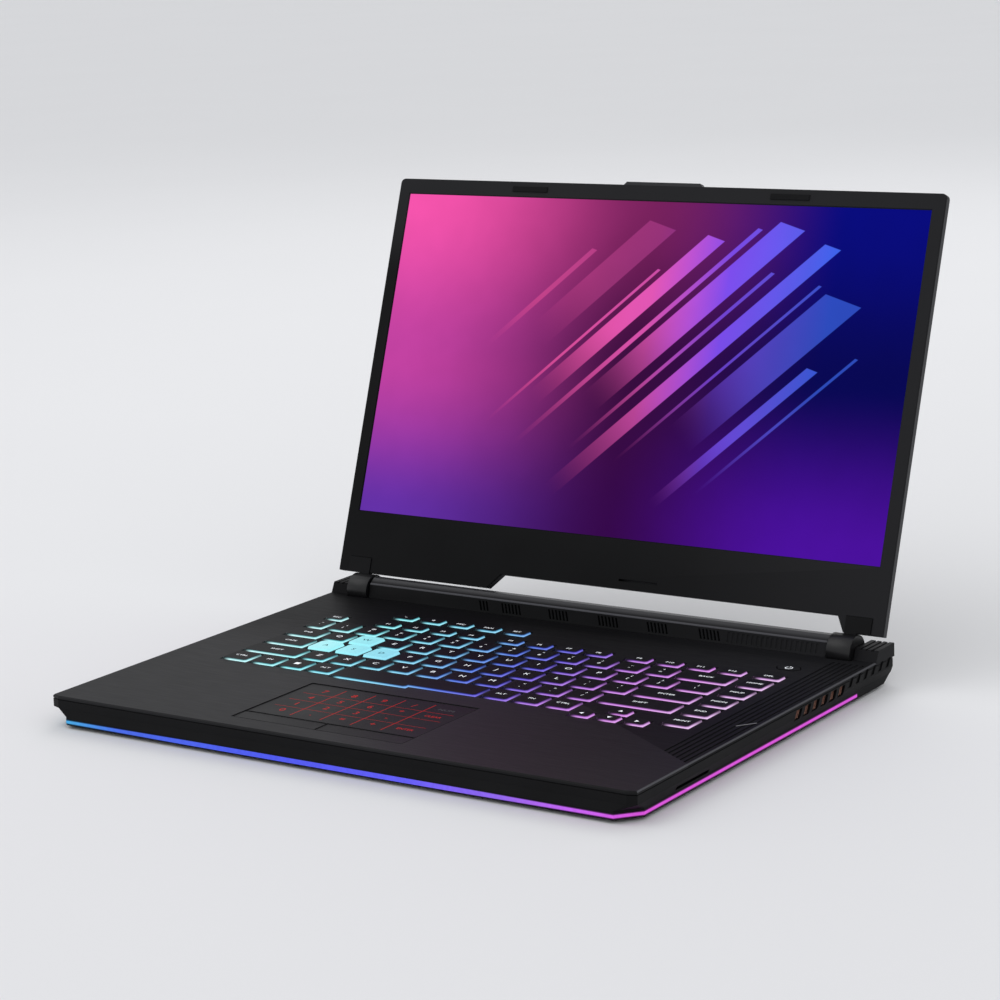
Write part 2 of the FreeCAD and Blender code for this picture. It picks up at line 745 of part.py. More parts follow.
# Side openings shared by both halves of the casing
def side_vents():
    top = DECK - VENT_TOP
    tools = []
    for i in range(VENT_COUNT):
        slot = leaning(VENT_FIRST + VENT_PITCH * i, VENT_WIDTH, top - VENT_HEIGHT, top, VENT_LEAN)
        tools.append(prism_x(slot, HALF - FIN_WINDOW_DEPTH, HALF + PAST))
    return tools


def usb_places():
    return [USB_FIRST + USB_PITCH * i for i in range(USB_COUNT)]


def left_windows():
    tools = []
    for y in usb_places():
        half = USB_WIDTH / 2.0 + FIT_GAP
        tools.append(box(-HALF - PAST, -INNER_HALF + PAST, y - half, y + half, BOARD_TOP - FIT_GAP,
                         BOARD_TOP + USB_HEIGHT + FIT_GAP))
    jack_z = BOARD_TOP + JACK_BODY / 2.0
    jack_ring = ring(JACK_Y, jack_z, JACK_BODY / 2.0 + FIT_GAP, INLET_SIDES)
    tools.append(prism_x(jack_ring, -HALF - PAST, -INNER_HALF + PAST))
    return tools


def rear_window():
    return box(-FRAME_HALF - FIT_GAP, FRAME_HALF + FIT_GAP, FRAME_FRONT - PAST, DECK_DEPTH + PAST,
               FRAME_LOW - FIT_GAP, DECK_UNDER)


# Upper casing
def knuckle_pocket():
    return rod_x(AXIS_Y, AXIS_Z, POCKET_RADIUS, POCKET_INNER, POCKET_OUTER)


def pocket_shell():
    outer = rod_x(AXIS_Y, AXIS_Z, POCKET_RADIUS + POCKET_WALL, POCKET_INNER - POCKET_WALL,
                  POCKET_OUTER + POCKET_WALL)
    keep = box(0.0, HALF, 0.0, DECK_DEPTH, FLOOR, DECK)
    return outer.common(keep)


def rear_block():
    front = DECK_DEPTH - BLOCK_DEPTH
    side = [(front - BLOCK_SLOPE, DECK_UNDER), (front - BLOCK_SLOPE, DECK), (front, DECK + BLOCK_HEIGHT),
            (DECK_DEPTH, DECK + BLOCK_HEIGHT), (DECK_DEPTH, DECK_UNDER)]
    block = prism_x(side, POCKET_OUTER, HALF)
    step = (HALF - POCKET_OUTER) / (BLOCK_GROOVES + 1)
    grooves = []
    for i in range(BLOCK_GROOVES):
        x = POCKET_OUTER + step * (i + 1) - BLOCK_GROOVE / 2.0
        grooves.append(box(x, x + BLOCK_GROOVE, front - BLOCK_SLOPE - PAST, DECK_DEPTH + PAST,
                           DECK + BLOCK_HEIGHT - BLOCK_GROOVE_DEPTH, DECK + BLOCK_HEIGHT + PAST))
    return cut(block, grooves)


def deck_ribs():
    """Grooves along the right deck edge, starting on a slanted line."""
    tools = []
    for i in range(RIB_COUNT):
        x0 = RIB_FIRST + RIB_PITCH * i
        x1 = x0 + RIB_GROOVE
        start0 = RIB_SLASH_Y + (x0 - RIB_SLASH_X) * RIB_SLASH_SLOPE
        start1 = RIB_SLASH_Y + (x1 - RIB_SLASH_X) * RIB_SLASH_SLOPE
        groove = [(x0, start0), (x1, start1), (x1, RIB_END), (x0, RIB_END)]
        tools.append(prism(groove, DECK - RIB_DEPTH, DECK + PAST))
    return tools


def side_ribs():
    """Leaning grooves on both outer walls beside the rear blocks."""
    tools = []
    for i in range(SIDE_RIB_COUNT):
        slot = leaning(SIDE_RIB_FIRST + SIDE_RIB_PITCH * i, SIDE_RIB_WIDTH, BAND + SIDE_RIB_MARGIN,
                       DECK - SIDE_RIB_MARGIN, VENT_LEAN)
        tools += pair(prism_x(slot, HALF - SIDE_RIB_DEPTH, HALF + PAST))
    return tools


def screw_spots():
    return [(side * x, y) for x, y in SCREW_SPOTS for side in (1, -1)]


def bracket_slots():
    half = BRACKET_WIDTH / 2.0 + FIT_GAP
    x = COVER_END - COVER_WALL - FIT_GAP - BOSS_WIDTH / 2.0
    slot = box(x - half, min(x + half, POCKET_INNER - POCKET_WALL), AXIS_Y - BOSS_RADIUS - FIT_GAP,
               AXIS_Y + BOSS_RADIUS + FIT_GAP, DECK_UNDER - PAST, DECK + PAST)
    return pair(slot)


def top_deck():
    """Plate with the key lattice, the knuckle pockets and the raised rear blocks."""
    plate = prism(deck_outline(), DECK_UNDER, DECK - DECK_EDGE)
    edge = loft(deck_outline(), deck_outline(DECK_EDGE), DECK - DECK_EDGE, DECK)
    shell = fuse([plate, edge] + pair(rear_block()) + pair(pocket_shell()))
    tools = [key_hole(*place) for places in LAYOUT.values() for place in places]
    tools.append(key_hole(*space_parts(LAYOUT["space_bar"][0])[1]))
    tools.append(prism(power_outline(KEY_CLEARANCE), DECK_UNDER - PAST, DECK + PAST))
    tools.append(prism(rectangle(PAD_LEFT, PAD_RIGHT, PAD_FRONT, PAD_BACK), DECK_UNDER - PAST, DECK + PAST))
    tools += pair(knuckle_pocket()) + bracket_slots() + deck_ribs() + side_ribs()
    return cut(shell, tools)


def side_band():
    """Wall under the rim of the deck, drawn in at the top to leave a shadow groove."""
    seam = DECK_UNDER - DECK_SEAM_HEIGHT
    wall = prism(deck_outline(), BAND, seam)
    neck = prism(deck_outline(DECK_SEAM_DEPTH), seam, DECK_UNDER)
    hollow = prism(deck_outline(CASE_WALL), BAND - PAST, DECK_UNDER + PAST)
    tools = [hollow, rear_window()] + side_ribs() + side_vents() + left_windows()
    return cut(fuse([wall, neck]), tools)


def screw_post(x, y):
    """Threaded post between the floor and the deck."""
    thread = post(x, y, SCREW_SHANK, INSIDE - PAST, SCREW_TIP, SHANK_SIDES)
    return post(x, y, SCREW_BOSS, INSIDE, DECK_UNDER, BOSS_SIDES).cut(thread)


# Lower casing
def tail_cut(shift=0.0):
    """Sloped cut under the two rear corners, outside the rear frame."""
    start = DECK_DEPTH - TAIL_CUT_Y - shift
    slope = TAIL_CUT_Z / TAIL_CUT_Y
    run = TAIL_CUT_Y + shift + PAST
    end = start + run
    side = [(start, FLOOR), (end, FLOOR + run * slope), (end, FLOOR - PAST), (start, FLOOR - PAST)]
    return prism_x(side, FRAME_HALF + CASE_WALL, HALF + PAST)


def light_ring(outer_inset, depth, z0, z1, end):
    ring = prism(lip_outline(outer_inset), z0, z1).cut(prism(lip_outline(depth), z0 - PAST, z1 + PAST))
    return ring.common(box(-HALF - PAST, HALF + PAST, -LIP_STEP - PAST, end, z0 - PAST, z1 + PAST))


def intake_slots():
    tools = []
    for i in range(INTAKE_COUNT):
        x = FAN_X + (i - (INTAKE_COUNT - 1) / 2.0) * INTAKE_PITCH - INTAKE_WIDTH / 2.0
        y0 = FAN_Y - INTAKE_LENGTH / 2.0
        y1 = FAN_Y + INTAKE_LENGTH / 2.0
        slot = [(x - INTAKE_LEAN / 2.0, y0), (x - INTAKE_LEAN / 2.0 + INTAKE_WIDTH, y0),
                (x + INTAKE_LEAN / 2.0 + INTAKE_WIDTH, y1), (x + INTAKE_LEAN / 2.0, y1)]
        tools += pair(prism(slot, FLOOR - PAST, INSIDE + PAST))
    return tools


def tail_room(grow):
    """Space over both sloped rear corners, where the lower band has its own floor."""
    run = FLOOR_THICK * math.hypot(TAIL_CUT_Y, TAIL_CUT_Z) / TAIL_CUT_Z
    return pair(box(FRAME_HALF + CASE_WALL - grow, HALF + PAST, DECK_DEPTH - TAIL_CUT_Y - run - grow,
                    DECK_DEPTH + PAST, FLOOR - PAST, INSIDE + PAST))


def lower_band():
    """Stepped rim round the lower half, with the groove for the light bar."""
    skirt = loft(lip_outline(), deck_outline(), LIP, BAND)
    rim = prism(lip_outline(), FLOOR, LIP)
    inner = lip_outline(BAR_DEPTH + CASE_WALL)
    slope_room = FLOOR_THICK * math.hypot(TAIL_CUT_Y, TAIL_CUT_Z) / TAIL_CUT_Z
    hollow = cut(prism(inner, INSIDE, BAND + PAST), pair(tail_cut(slope_room)))
    panel_room = cut(prism(inner, FLOOR - PAST, INSIDE), tail_room(0.0))
    groove = light_ring(-PAST, BAR_DEPTH, BAR_LOW, BAR_HIGH, BAR_END)
    slot_low = LIP + FIT_GAP
    slot = box(INNER_HALF - PAST, HALF + PAST, SPEAKER_SLOT_FIRST, SPEAKER_SLOT_FIRST + SPEAKER_SLOT_LENGTH,
               slot_low, slot_low + SPEAKER_SLOT_HEIGHT)
    tools = [hollow, panel_room, groove, rear_window()] + pair(tail_cut()) + pair(slot)
    return cut(fuse([rim, skirt]), tools + side_vents() + left_windows())


def bottom_cover():
    """Flat panel inside the rim, with the fan intakes and the sunk screw seats."""
    panel = prism(lip_outline(BAR_DEPTH + CASE_WALL + FIT_GAP), FLOOR, INSIDE)
    tools = tail_room(FIT_GAP) + intake_slots()
    for x, y in screw_spots():
        tools.append(post(x, y, SCREW_HEAD + FIT_GAP, FLOOR - PAST, FLOOR + SCREW_HEAD_HEIGHT, HEAD_SIDES))
        tools.append(post(x, y, SCREW_SHANK, FLOOR, INSIDE + PAST, SHANK_SIDES))
    return cut(panel, tools)


def light_bar():
    return light_ring(-BAR_PROUD, BAR_DEPTH, BAR_LOW, BAR_HIGH, BAR_END)


def rubber_feet():
    feet = []
    for y in (FOOT_FRONT, FOOT_BACK):
        for x in (FOOT_X, -FOOT_X):
            spot = (x - FOOT_LONG / 2.0, x + FOOT_LONG / 2.0, y - FOOT_WIDE / 2.0, y + FOOT_WIDE / 2.0)
            feet.append(loft(rectangle(*spot, grow=-FOOT_TAPER), rectangle(*spot), 0.0, FLOOR))
    return feet


def bottom_screws():
    screws = []
    for x, y in screw_spots():
        head = post(x, y, SCREW_HEAD, FLOOR, FLOOR + SCREW_HEAD_HEIGHT, HEAD_SIDES)
        shank = post(x, y, SCREW_SHANK, FLOOR, SCREW_TIP, SHANK_SIDES)
        screws.append(fuse([head, shank]))
    return screws


# Touchpad and its buttons
def touchpad():
    front = PAD_FRONT + BUTTON_DEPTH
    plate = box(PAD_LEFT + PAD_GAP, PAD_RIGHT - PAD_GAP, front + PAD_GAP, PAD_BACK - PAD_GAP,
                DECK_UNDER, PAD_TOP)
    flange = box(PAD_LEFT - PAD_FLANGE, PAD_RIGHT + PAD_FLANGE, front + PAD_GAP, PAD_BACK + PAD_FLANGE,
                 DECK_UNDER - PAD_FLANGE_THICK, DECK_UNDER)
    return fuse([plate, flange])


def touchpad_button(x0, x1):
    return box(x0 + PAD_GAP, x1 - PAD_GAP, PAD_FRONT + PAD_GAP, PAD_FRONT + BUTTON_DEPTH - PAD_GAP,
               PAD_TOP - BUTTON_THICK, PAD_TOP)


# Hinge cover bar between the knuckles
def drawn_in(points, walls):
    """Outline whose edges are moved inwards, each by its own wall; edge i runs from point i to the next."""
    lines = []
    for i, (x, y) in enumerate(points):
        after = points[(i + 1) % len(points)]
        length = math.hypot(after[0] - x, after[1] - y)
        along = ((after[0] - x) / length, (after[1] - y) / length)
        lines.append((x - along[1] * walls[i], y + along[0] * walls[i], along))
    corners = []
    for i, (x, y, along) in enumerate(lines):
        px, py, before = lines[i - 1]
        turn = before[0] * along[1] - before[1] * along[0]
        run = ((x - px) * along[1] - (y - py) * along[0]) / turn
        corners.append((px + before[0] * run, py + before[1] * run))
    return corners


def cover_profile():
    """Side outline over the deck, counter-clockwise from the foot of the front face."""
    roof = AXIS_Z + COVER_ROOF_Z
    crest = AXIS_Z + COVER_CREST_Z
    outline = [(AXIS_Y - COVER_FRONT, DECK), (AXIS_Y - COVER_SHOULDER_Y, AXIS_Z + COVER_SHOULDER_Z),
               (AXIS_Y - COVER_CREST_Y, crest), (AXIS_Y + COVER_CREST_Y, crest),
               (AXIS_Y + COVER_BACK_Y, roof), (DECK_DEPTH, roof), (DECK_DEPTH, DECK)]
    return outline[::-1]


def front_slits():
    tools = []
    front = AXIS_Y - COVER_FRONT
    groups = [(centre, SLIT_COUNT) for centre in SLIT_GROUPS] + [(SLIT_SHORT_GROUP, SLIT_SHORT_COUNT)]
    for centre, count in groups:
        for i in range(count):
            x = centre + (i - count / 2.0) * SLIT_PITCH
            slit = leaning(x, SLIT_WIDTH, DECK + SLIT_LOW, DECK + SLIT_HIGH, SLIT_LEAN)
            tools.append(prism_y(slit, front - PAST, front + COVER_SHOULDER_Y - COVER_WALL))
    return tools


def front_flutes():
    front = AXIS_Y - COVER_FRONT
    slope = (COVER_FRONT - COVER_SHOULDER_Y) / (HINGE_RISE + COVER_SHOULDER_Z)
    low = front + SLIT_LOW * slope
    high = front + SLIT_HIGH * slope
    flute = [(low - PAST, DECK + SLIT_LOW), (low + FLUTE_DEPTH, DECK + SLIT_LOW),
             (high + FLUTE_DEPTH, DECK + SLIT_HIGH), (high - PAST, DECK + SLIT_HIGH)]
    starts = [FLUTE_START + FLUTE_PITCH * i for i in range(int((FLUTE_END - FLUTE_START) / FLUTE_PITCH))]
    return [prism_x(flute, x, x + FLUTE_PITCH / 2.0) for x in starts]


def hinge_bar():
    profile = cover_profile()
    walls = [COVER_WALL] * (len(profile) - 1) + [-PAST]
    shell = prism_x(profile, -COVER_END, COVER_END)
    hollow = prism_x(drawn_in(profile, walls), -COVER_END + COVER_WALL, COVER_END - COVER_WALL)
    wall_start = COVER_END - COVER_WALL - PAST
    pin_hole = rod_x(AXIS_Y, AXIS_Z, PIN_RADIUS + FIT_GAP, wall_start, COVER_END + PAST)
    return cut(shell, [hollow] + front_slits() + front_flutes() + pair(pin_hole))


def hinge_bracket():
    """Bearing boss on the hinge axis with a foot plate under the deck."""
    x1 = COVER_END - COVER_WALL - FIT_GAP
    x0 = x1 - BOSS_WIDTH
    boss = prism_x(ring(AXIS_Y, AXIS_Z, BOSS_RADIUS, INLET_SIDES), x0, x1)
    web = box(x0, x1, AXIS_Y - BOSS_RADIUS, AXIS_Y + BOSS_RADIUS, DECK_UNDER - BRACKET_THICK, AXIS_Z)
    foot = box(x1 - BRACKET_WIDTH, x1, AXIS_Y + BOSS_RADIUS - BRACKET_LENGTH, AXIS_Y + BOSS_RADIUS,
               DECK_UNDER - BRACKET_THICK, DECK_UNDER)
    bore = rod_x(AXIS_Y, AXIS_Z, PIN_RADIUS + PIN_PLAY, x0 - PAST, x1 + PAST)
    return fuse([boss, web, foot]).cut(bore)


def hinge_pin():
    start = COVER_END - COVER_WALL - FIT_GAP - BOSS_WIDTH
    return rod_x(AXIS_Y, AXIS_Z, PIN_RADIUS, start, KNUCKLE_OUTER_X - KNUCKLE_GAP)


# Lid pieces, drawn closed: reach runs forward of the axis, height runs up from it
def lid_box(x0, x1, reach0, reach1, low, high):
    return box(x0, x1, AXIS_Y - reach1, AXIS_Y - reach0, AXIS_Z + low, AXIS_Z + high)


def lid_outline(inset, tab):
    side = HALF - inset
    heel = LID_HEEL + inset
    top = LID_TOP - inset
    notch = NOTCH_REACH + inset
    left = NOTCH_LEFT - inset
    right = NOTCH_RIGHT + inset
    points = [(-side, heel), (left, heel), (left + NOTCH_SLANT, notch), (right - NOTCH_SLANT / 2.0, notch),
              (right, heel), (side, heel), (side, top)]
    if tab:
        points += [(TAB_RIGHT, top), (TAB_RIGHT - TAB_PROUD, top + TAB_PROUD),
                   (TAB_LEFT + TAB_PROUD, top + TAB_PROUD), (TAB_LEFT, top)]
    points.append((-side, top))
    return [(x, AXIS_Y - reach) for x, reach in points]


def lid_slab(inset, tab, low, high):
    slab = prism(lid_outline(inset, tab), AXIS_Z + low, AXIS_Z + high)
    side = HALF - inset
    front = AXIS_Y - LID_TOP + inset
    return slab.makeFillet(LID_CORNER - inset, upright_edges(slab, [(side, front), (-side, front)]))


def tongue_span(grow):
    x0 = KNUCKLE_INNER_X + TONGUE_OFFSET - grow
    return x0, x0 + TONGUE_WIDTH + 2.0 * grow


def tongue_room():
    x0, x1 = tongue_span(FIT_GAP)
    return pair(lid_box(x0, x1, LID_HEEL - PAST, TONGUE_REACH + FIT_GAP, BEZEL_FACE - PAST, TONGUE_BACK))


def lid_cover():
    slab = lid_slab(0.0, True, BEZEL_BACK, LID_BACK)
    slab = slab.makeChamfer(LID_EDGE, edges_at(slab, AXIS_Z + LID_BACK))
    hollow = lid_box(-HALF + LID_WALL, HALF - LID_WALL, NOTCH_REACH + LID_WALL, LID_TOP - LID_WALL,
                     BEZEL_BACK - PAST, LID_INSIDE)
    return cut(slab, [hollow] + tongue_room())


def screen_bezel():
    slab = lid_slab(BEZEL_INSET, False, BEZEL_FACE, BEZEL_BACK)
    spot = (-SCREEN_HALF, SCREEN_HALF, AXIS_Y - SCREEN_TOP, AXIS_Y - CHIN_REACH)
    view = rectangle(*spot)
    wide = rectangle(*spot, grow=BEZEL_BEVEL)
    window = loft(wide, view, AXIS_Z + BEZEL_FACE, AXIS_Z + BEZEL_BACK)
    slot = lid_box(CHIN_SLOT_X - CHIN_SLOT_WIDTH / 2.0, CHIN_SLOT_X + CHIN_SLOT_WIDTH / 2.0, CHIN_SLOT_REACH,
                   CHIN_SLOT_REACH + CHIN_SLOT_HEIGHT, BEZEL_FACE - PAST, BEZEL_BACK + PAST)
    return cut(slab, [window, slot] + tongue_room())


def panel_slab(low, high):
    half = SCREEN_HALF + PANEL_BORDER
    return lid_box(-half, half, CHIN_REACH - PANEL_CHIN, SCREEN_TOP + PANEL_BORDER, low, high)


def hinge_knuckle():
    barrel = rod_x(AXIS_Y, AXIS_Z, KNUCKLE_RADIUS, KNUCKLE_INNER_X, KNUCKLE_OUTER_X)
    x0, x1 = tongue_span(0.0)
    tongue = lid_box(x0, x1, LID_HEEL + FIT_GAP, TONGUE_REACH, TONGUE_FRONT, TONGUE_BACK)
    root = lid_box(x0, KNUCKLE_OUTER_X - LID_EDGE, 0.0, TONGUE_REACH, TONGUE_FRONT, TONGUE_BACK)
    bore = rod_x(AXIS_Y, AXIS_Z, PIN_RADIUS, KNUCKLE_INNER_X - PAST, KNUCKLE_OUTER_X - KNUCKLE_GAP)
    return fuse([barrel, root, tongue]).cut(bore)


def lid_hinge_arm():
    """Steel plate in the chin, screwed to the lid skin and over the knuckle's tongue."""
    x0, x1 = tongue_span(0.0)
    low_reach = NOTCH_REACH + LID_WALL + FIT_GAP
    return lid_box(x1 - ARM_LENGTH, x1, low_reach, low_reach + ARM_DEPTH, TONGUE_BACK, LID_INSIDE)


def lid_bumper():
    low = BEZEL_FACE - BUMPER_PROUD
    reach = LID_TOP - BUMPER_MARGIN - BUMPER_DEPTH
    half = BUMPER_WIDTH / 2.0
    foot = rectangle(BUMPER_X - half, BUMPER_X + half, AXIS_Y - reach - BUMPER_DEPTH, AXIS_Y - reach)
    tip = [(x + (BUMPER_PROUD if x < BUMPER_X else -BUMPER_PROUD), y) for x, y in foot]
    return loft(tip, foot, AXIS_Z + low, AXIS_Z + BEZEL_FACE)


# Fans, fins and heat pipes
def fan_outline(x0, x1, y0, y1, radius):
    """Case outline with two faceted round corners at the front and a straight outlet side."""
    turns = [math.pi / 2.0 * i / ROUND_STEPS for i in range(ROUND_STEPS + 1)]
    right = [(x1 - radius + radius * math.sin(t), y0 + radius - radius * math.cos(t)) for t in turns]
    left = [(x0 + x1 - x, y) for x, y in right[::-1]]
    return right + [(x1, y1), (x0, y1)] + left


def fan_housing():
    x0, x1 = FAN_X - FAN_WIDTH / 2.0, FAN_X + FAN_WIDTH / 2.0
    y0, y1 = FAN_Y - FAN_LENGTH / 2.0, FAN_Y + FAN_LENGTH / 2.0
    case = prism(fan_outline(x0, x1, y0, y1, FAN_ROUND), INSIDE, FAN_TOP)
    room = prism(fan_outline(x0 + FAN_SKIN, x1 - FAN_SKIN, y0 + FAN_SKIN, y1 + PAST, FAN_ROUND - FAN_SKIN),
                 INSIDE + FAN_SKIN, FAN_TOP - FAN_SKIN)
    inlet = post(FAN_X, FAN_Y, FAN_INLET, INSIDE - PAST, INSIDE + FAN_SKIN + FIT_GAP, INLET_SIDES)
    spindle = rod_z(FAN_X, FAN_Y, SPINDLE_RADIUS, INSIDE + FAN_SKIN + ROTOR_GAP, FAN_TOP)
    return fuse([cut(case, [room, inlet]), spindle])


def fan_rotor():
    low = INSIDE + FAN_SKIN + ROTOR_GAP
    high = FAN_TOP - FAN_SKIN - ROTOR_GAP
    hub = post(0.0, 0.0, ROTOR_HUB, low, high, BLADE_COUNT)
    length = ROTOR_RADIUS - ROTOR_HUB + 2.0 * BLADE_ROOT
    blades = []
    for i in range(BLADE_COUNT):
        blade = box(0.0, length, -BLADE_THICK / 2.0, BLADE_THICK / 2.0, low, high)
        blade.rotate(V(0, 0, 0), V(0, 0, 1), BLADE_LEAN)
        blade.translate(V(ROTOR_HUB - BLADE_ROOT, 0, 0))
        blade.rotate(V(0, 0, 0), V(0, 0, 1), 360.0 / BLADE_COUNT * i)
        blades.append(blade)
    rotor = fuse([hub] + blades).cut(rod_z(0.0, 0.0, SPINDLE_RADIUS + PIN_PLAY, low - PAST, high + PAST))
    rotor.translate(V(FAN_X, FAN_Y, 0))
    return rotor


def fin_outline(start, depth):
    """Fin with a low step where the heat pipe lies on it."""
    step = start + PIPE_WIDTH
    return [(start, INSIDE), (start + depth, INSIDE), (start + depth, INSIDE + FIN_HEIGHT),
            (step, INSIDE + FIN_HEIGHT), (step, INSIDE + FIN_LOW), (start, INSIDE + FIN_LOW)]


def rear_fins():
    first = FAN_X - FIN_PITCH * (REAR_FIN_COUNT - 1) / 2.0
    fins = []
    for i in range(REAR_FIN_COUNT):
        x = first + FIN_PITCH * i
        fins.append(prism_x(fin_outline(FIN_FRONT, FIN_DEPTH), x, x + FIN_THICK))
    last = first + FIN_PITCH * (REAR_FIN_COUNT - 1) + FIN_THICK
    base = box(first, last, FIN_FRONT, FIN_FRONT + FIN_DEPTH, INSIDE, INSIDE + FIN_BASE)
    return fuse([base] + fins)


def side_fins():
    inner = INNER_HALF - FIT_GAP - SIDE_FIN_DEPTH
    fins = []
    for i in range(SIDE_FIN_COUNT):
        y = SIDE_FIN_FIRST + FIN_PITCH * i
        fins.append(prism_y(fin_outline(inner, SIDE_FIN_DEPTH), y, y + FIN_THICK))
    last = SIDE_FIN_FIRST + FIN_PITCH * (SIDE_FIN_COUNT - 1) + FIN_THICK
    base = box(inner, inner + SIDE_FIN_DEPTH, SIDE_FIN_FIRST, last, INSIDE, INSIDE + FIN_BASE)
    return fuse([base] + fins)


def heat_pipes():
    low = INSIDE + FIN_LOW
    high = low + PIPE_THICK
    rear_y = FIN_FRONT + PIPE_WIDTH / 2.0
    end = FAN_X + FIN_PITCH * (REAR_FIN_COUNT - 1) / 2.0
    bend = BOARD_HALF - CHIP_SIZE
    rear = [(-end, rear_y), (-bend - CHIP_SIZE / 2.0, rear_y), (-bend, CHIP_Y), (bend, CHIP_Y),
            (bend + CHIP_SIZE / 2.0, rear_y), (end, rear_y)]
    side_x = INNER_HALF - FIT_GAP - SIDE_FIN_DEPTH + PIPE_WIDTH / 2.0
    lane = FAN_Y - FAN_LENGTH / 2.0 - PIPE_WIDTH / 2.0 - PIPE_GAP
    top = SIDE_FIN_FIRST + FIN_PITCH * (SIDE_FIN_COUNT - 1)
    under_chip = CHIP_Y - PIPE_WIDTH - PIPE_GAP
    side = [(0.0, under_chip), (bend, under_chip), (bend + CHIP_SIZE / 2.0, lane), (side_x, lane),
            (side_x, top)]
    return [band(rear, PIPE_WIDTH, low, high), band(side, PIPE_WIDTH, low, high)]


# Board, battery and other inner pieces
def standoff_spots():
    edge = 2.0 * STANDOFF_RADIUS
    inner = BOARD_HALF - edge
    right = [(inner, BOARD_FRONT + edge), (inner, BOARD_BACK - edge), (WING_REACH - edge, WING_BACK - edge)]
    return right + [(-x, y) for x, y in right]


def motherboard():
    outline = [(-BOARD_HALF, WING_BACK), (-WING_REACH, WING_BACK), (-WING_REACH, BOARD_FRONT),
               (WING_REACH, BOARD_FRONT), (WING_REACH, WING_BACK), (BOARD_HALF, WING_BACK),
               (BOARD_HALF, BOARD_BACK), (-BOARD_HALF, BOARD_BACK)]
    board = prism(outline, BOARD_LOW, BOARD_TOP)
    half = CHIP_SIZE / 2.0
    chips = [box(x - half, x + half, CHIP_Y - half, CHIP_Y + half, BOARD_TOP, INSIDE + FIN_LOW)
             for x in (-CHIP_X, CHIP_X)]
    posts = [post(x, y, STANDOFF_RADIUS, INSIDE, BOARD_LOW, BOSS_SIDES) for x, y in standoff_spots()]
    return fuse([board] + chips + posts)


def battery_pack():
    top = INSIDE + BATTERY_HEIGHT
    pack = box(-BATTERY_HALF, BATTERY_HALF, BATTERY_FRONT, BATTERY_BACK, INSIDE, top)
    step = 2.0 * BATTERY_HALF / BATTERY_CELLS
    seams = []
    for i in range(1, BATTERY_CELLS):
        x = -BATTERY_HALF + step * i - SEAM_WIDTH / 2.0
        seams.append(box(x, x + SEAM_WIDTH, BATTERY_FRONT - PAST, BATTERY_BACK + PAST, top - SEAM_DEPTH,
                         top + PAST))
    return cut(pack, seams)


def module(x0, y0, width, depth, chip_count):
    """Small circuit card with its edge connector on the board and a row of chips."""
    low = BOARD_TOP + CARD_LIFT
    high = low + CARD_THICK
    card = box(x0, x0 + width, y0, y0 + depth, low, high)
    connector = box(x0, x0 + width, y0, y0 + CONNECTOR_DEPTH, BOARD_TOP, high + CONNECTOR_RISE)
    pitch = width / chip_count
    chips = []
    for i in range(chip_count):
        x = x0 + pitch * i + CARD_CHIP_GAP / 2.0
        chips.append(box(x, x + pitch - CARD_CHIP_GAP, y0 + CARD_CHIP_START, y0 + depth - CARD_CHIP_END,
                         low, high + CARD_CHIP_RISE))
    return fuse([card, connector] + chips)


def memory_modules():
    fronts = [CARD_FRONT + MEMORY_PITCH * i for i in range(MEMORY_COUNT)]
    return [module(MEMORY_LEFT, y, MEMORY_WIDTH, MEMORY_DEPTH, MEMORY_CHIPS) for y in fronts]


def storage_module():
    return module(STORAGE_LEFT, CARD_FRONT, STORAGE_WIDTH, STORAGE_DEPTH, STORAGE_CHIPS)


def wireless_card():
    return module(WIRELESS_LEFT, WIRELESS_FRONT, WIRELESS_WIDTH, WIRELESS_DEPTH, WIRELESS_CHIPS)


def speaker():
    back = SPEAKER_FRONT + SPEAKER_DEPTH
    top = INSIDE + SPEAKER_HEIGHT
    case = box(SPEAKER_INNER, SPEAKER_INNER + SPEAKER_WIDTH, SPEAKER_FRONT, back, INSIDE, top)
    cone = post(SPEAKER_INNER + SPEAKER_WIDTH / 2.0, (SPEAKER_FRONT + back) / 2.0, SPEAKER_CONE,
                top - SPEAKER_RECESS, top + PAST, INLET_SIDES)
    return case.cut(cone)


# Sockets on the left side and at the rear
def usb_port(y):
    x0 = -HALF + SOCKET_SETBACK
    x1 = x0 + USB_LENGTH
    half = USB_WIDTH / 2.0
    low, high = BOARD_TOP, BOARD_TOP + USB_HEIGHT
    shell = box(x0, x1, y - half, y + half, low, high)
    room = box(x0 - PAST, x1 - USB_BACK, y - half + USB_SHELL, y + half - USB_SHELL, low + USB_SHELL,
               high - USB_SHELL)
    tongue_top = high - USB_SHELL - USB_TONGUE_GAP
    tongue = box(x0 + USB_TONGUE_SETBACK, x1, y - half + USB_TONGUE_SIDE, y + half - USB_TONGUE_SIDE,
                 tongue_top - USB_TONGUE_THICK, tongue_top)
    return fuse([shell.cut(room), tongue])


def audio_jack():
    x0 = -HALF + SOCKET_SETBACK
    mid_z = BOARD_TOP + JACK_BODY / 2.0
    half = JACK_BODY / 2.0
    collar = prism_x(ring(JACK_Y, mid_z, half, INLET_SIDES), x0, x0 + JACK_LENGTH)
    body = box(-INNER_HALF + FIT_GAP, -INNER_HALF + FIT_GAP + JACK_LENGTH, JACK_Y - half, JACK_Y + half,
               BOARD_TOP, BOARD_TOP + JACK_BODY)
    bore = rod_x(JACK_Y, mid_z, JACK_RADIUS, x0 - PAST, x0 + JACK_DEPTH)
    return fuse([collar, body]).cut(bore)


